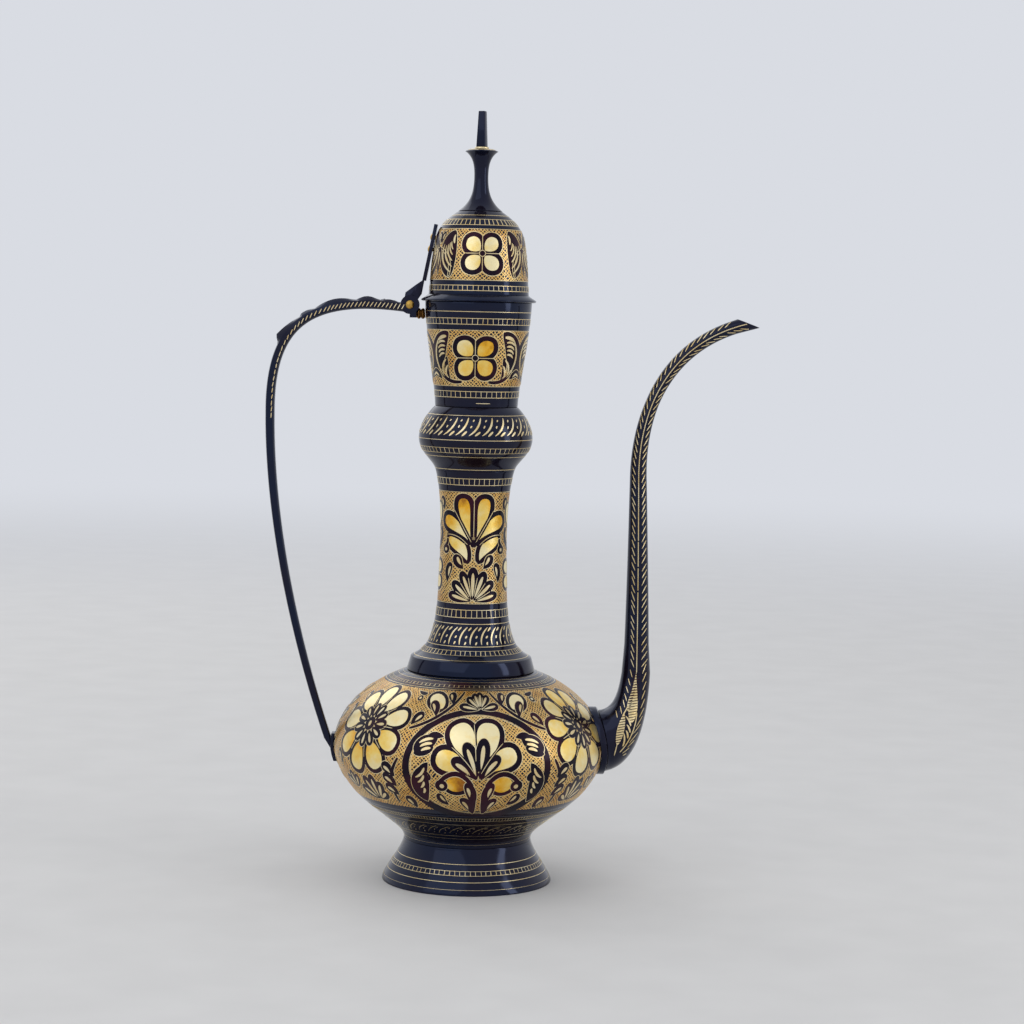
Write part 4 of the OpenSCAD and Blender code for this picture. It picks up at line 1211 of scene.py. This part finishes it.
# Handle's cuts
pin_low, pin_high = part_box("hinge_pin")
pin = Vector(((pin_low.x + pin_high.x) / 2 / MM, (pin_low.z + pin_high.z) / 2 / MM))
BOW_T = 6.6
BOW_REACH = 102.2
BOW_DROP = 57
bow_end = (-BOW_REACH, pin.y - BOW_DROP)
bow_path = drawn(pin - Vector((1.5, 1.5)), (-52.5, 6.4), (0.4, -43.5), bow_end, 200)


def on_bow(x, z, lift):
    """The near side of the bow at a place in front view."""
    return (x, -BOW_T / 2 - lift + GROUND / 2, z)


bow_panel = Panel("bow_cuts", "vessel", on_bow, 3, both_sides=True)
for run, gap, reach in ((bow_path[:68], 1.95, 1.5), (bow_path[67:110], 2.5, 1.5),
                        (bow_path[107:], 3.1, 1.3)):
    for place, way in spaced(run, gap):
        lean = math.radians(56 + 26 * math.sqrt(max(0, pin.y - place.y) / BOW_DROP))
        half_dash = Vector((math.cos(lean), math.sin(lean))) * reach
        bow_panel.stroke(place - half_dash, place + half_dash, 0.21, 0, 0.3, 0.3)
bow_panel.made()


# Stage: a pale floor that fades into a pale surround
SURROUND = "#d9dce3"
FLOOR_R = 14
bpy.ops.object.select_all(action="DESELECT")
bpy.ops.mesh.primitive_circle_add(vertices=96, radius=FLOOR_R, fill_type="NGON")
floor = bpy.context.object
floor.name = "floor"
paint, tree, shader = new_material("pale studio floor")
place = add_node(tree, "ShaderNodeTexCoord").outputs["Object"]
away = add_node(tree, "ShaderNodeVectorMath", [(0, place)], operation="LENGTH")
fade = add_node(tree, "ShaderNodeMapRange", [("Value", away.outputs["Value"])],
                [("From Min", 0.7), ("From Max", 3.0)], interpolation_type="SMOOTHSTEP")
speckle = add_node(tree, "ShaderNodeTexNoise", [("Vector", place)],
                   [("Scale", per_metre(40)), ("Detail", 2)])
pale = add_node(tree, "ShaderNodeValToRGB", [("Fac", speckle.outputs["Fac"])],
                stops=[(0.3, "#dcdad6"), (0.7, "#d8d6d2")])
tree.links.new(pale.outputs["Color"], shader.inputs["Base Color"])
shader.inputs["Roughness"].default_value = 0.8
glow = add_node(tree, "ShaderNodeEmission", inputs=[("Color", tone(SURROUND)), ("Strength", 1)])
blend = add_node(tree, "ShaderNodeMixShader",
                 [(0, fade.outputs["Result"]), (1, shader.outputs["BSDF"]), (2, glow.outputs["Emission"])])
tree.links.new(blend.outputs["Shader"], tree.nodes["Material Output"].inputs["Surface"])
floor.data.materials.append(paint)

world = bpy.data.worlds.new("surround")
scene.world = world
world.use_nodes = True
sky = world.node_tree.nodes["Background"]
sky.inputs["Color"].default_value = tone(SURROUND)
sky.inputs["Strength"].default_value = 1


def lamp(name, place, aim, width, height, power):
    """A soft lamp that faces a place on the ewer."""
    data = bpy.data.lights.new(name, "AREA")
    data.shape = "RECTANGLE"
    data.size = width
    data.size_y = height
    data.energy = power
    made = bpy.data.objects.new(name, data)
    made.location = place
    made.rotation_euler = (Vector(aim) - Vector(place)).to_track_quat("-Z", "Y").to_euler()
    made.visible_camera = False
    scene.collection.objects.link(made)


lamp("key_lamp", (-0.9, -1.3, 1.3), (0, 0, 0.15), 1.8, 1.8, 6)
lamp("side_lamp", (1.2, -0.5, 0.6), (0, 0, 0.2), 0.3, 1.0, 2.5)
lamp("back_lamp", (-0.7, 1.1, 1.1), (0, 0, 0.2), 1.2, 1.2, 3)
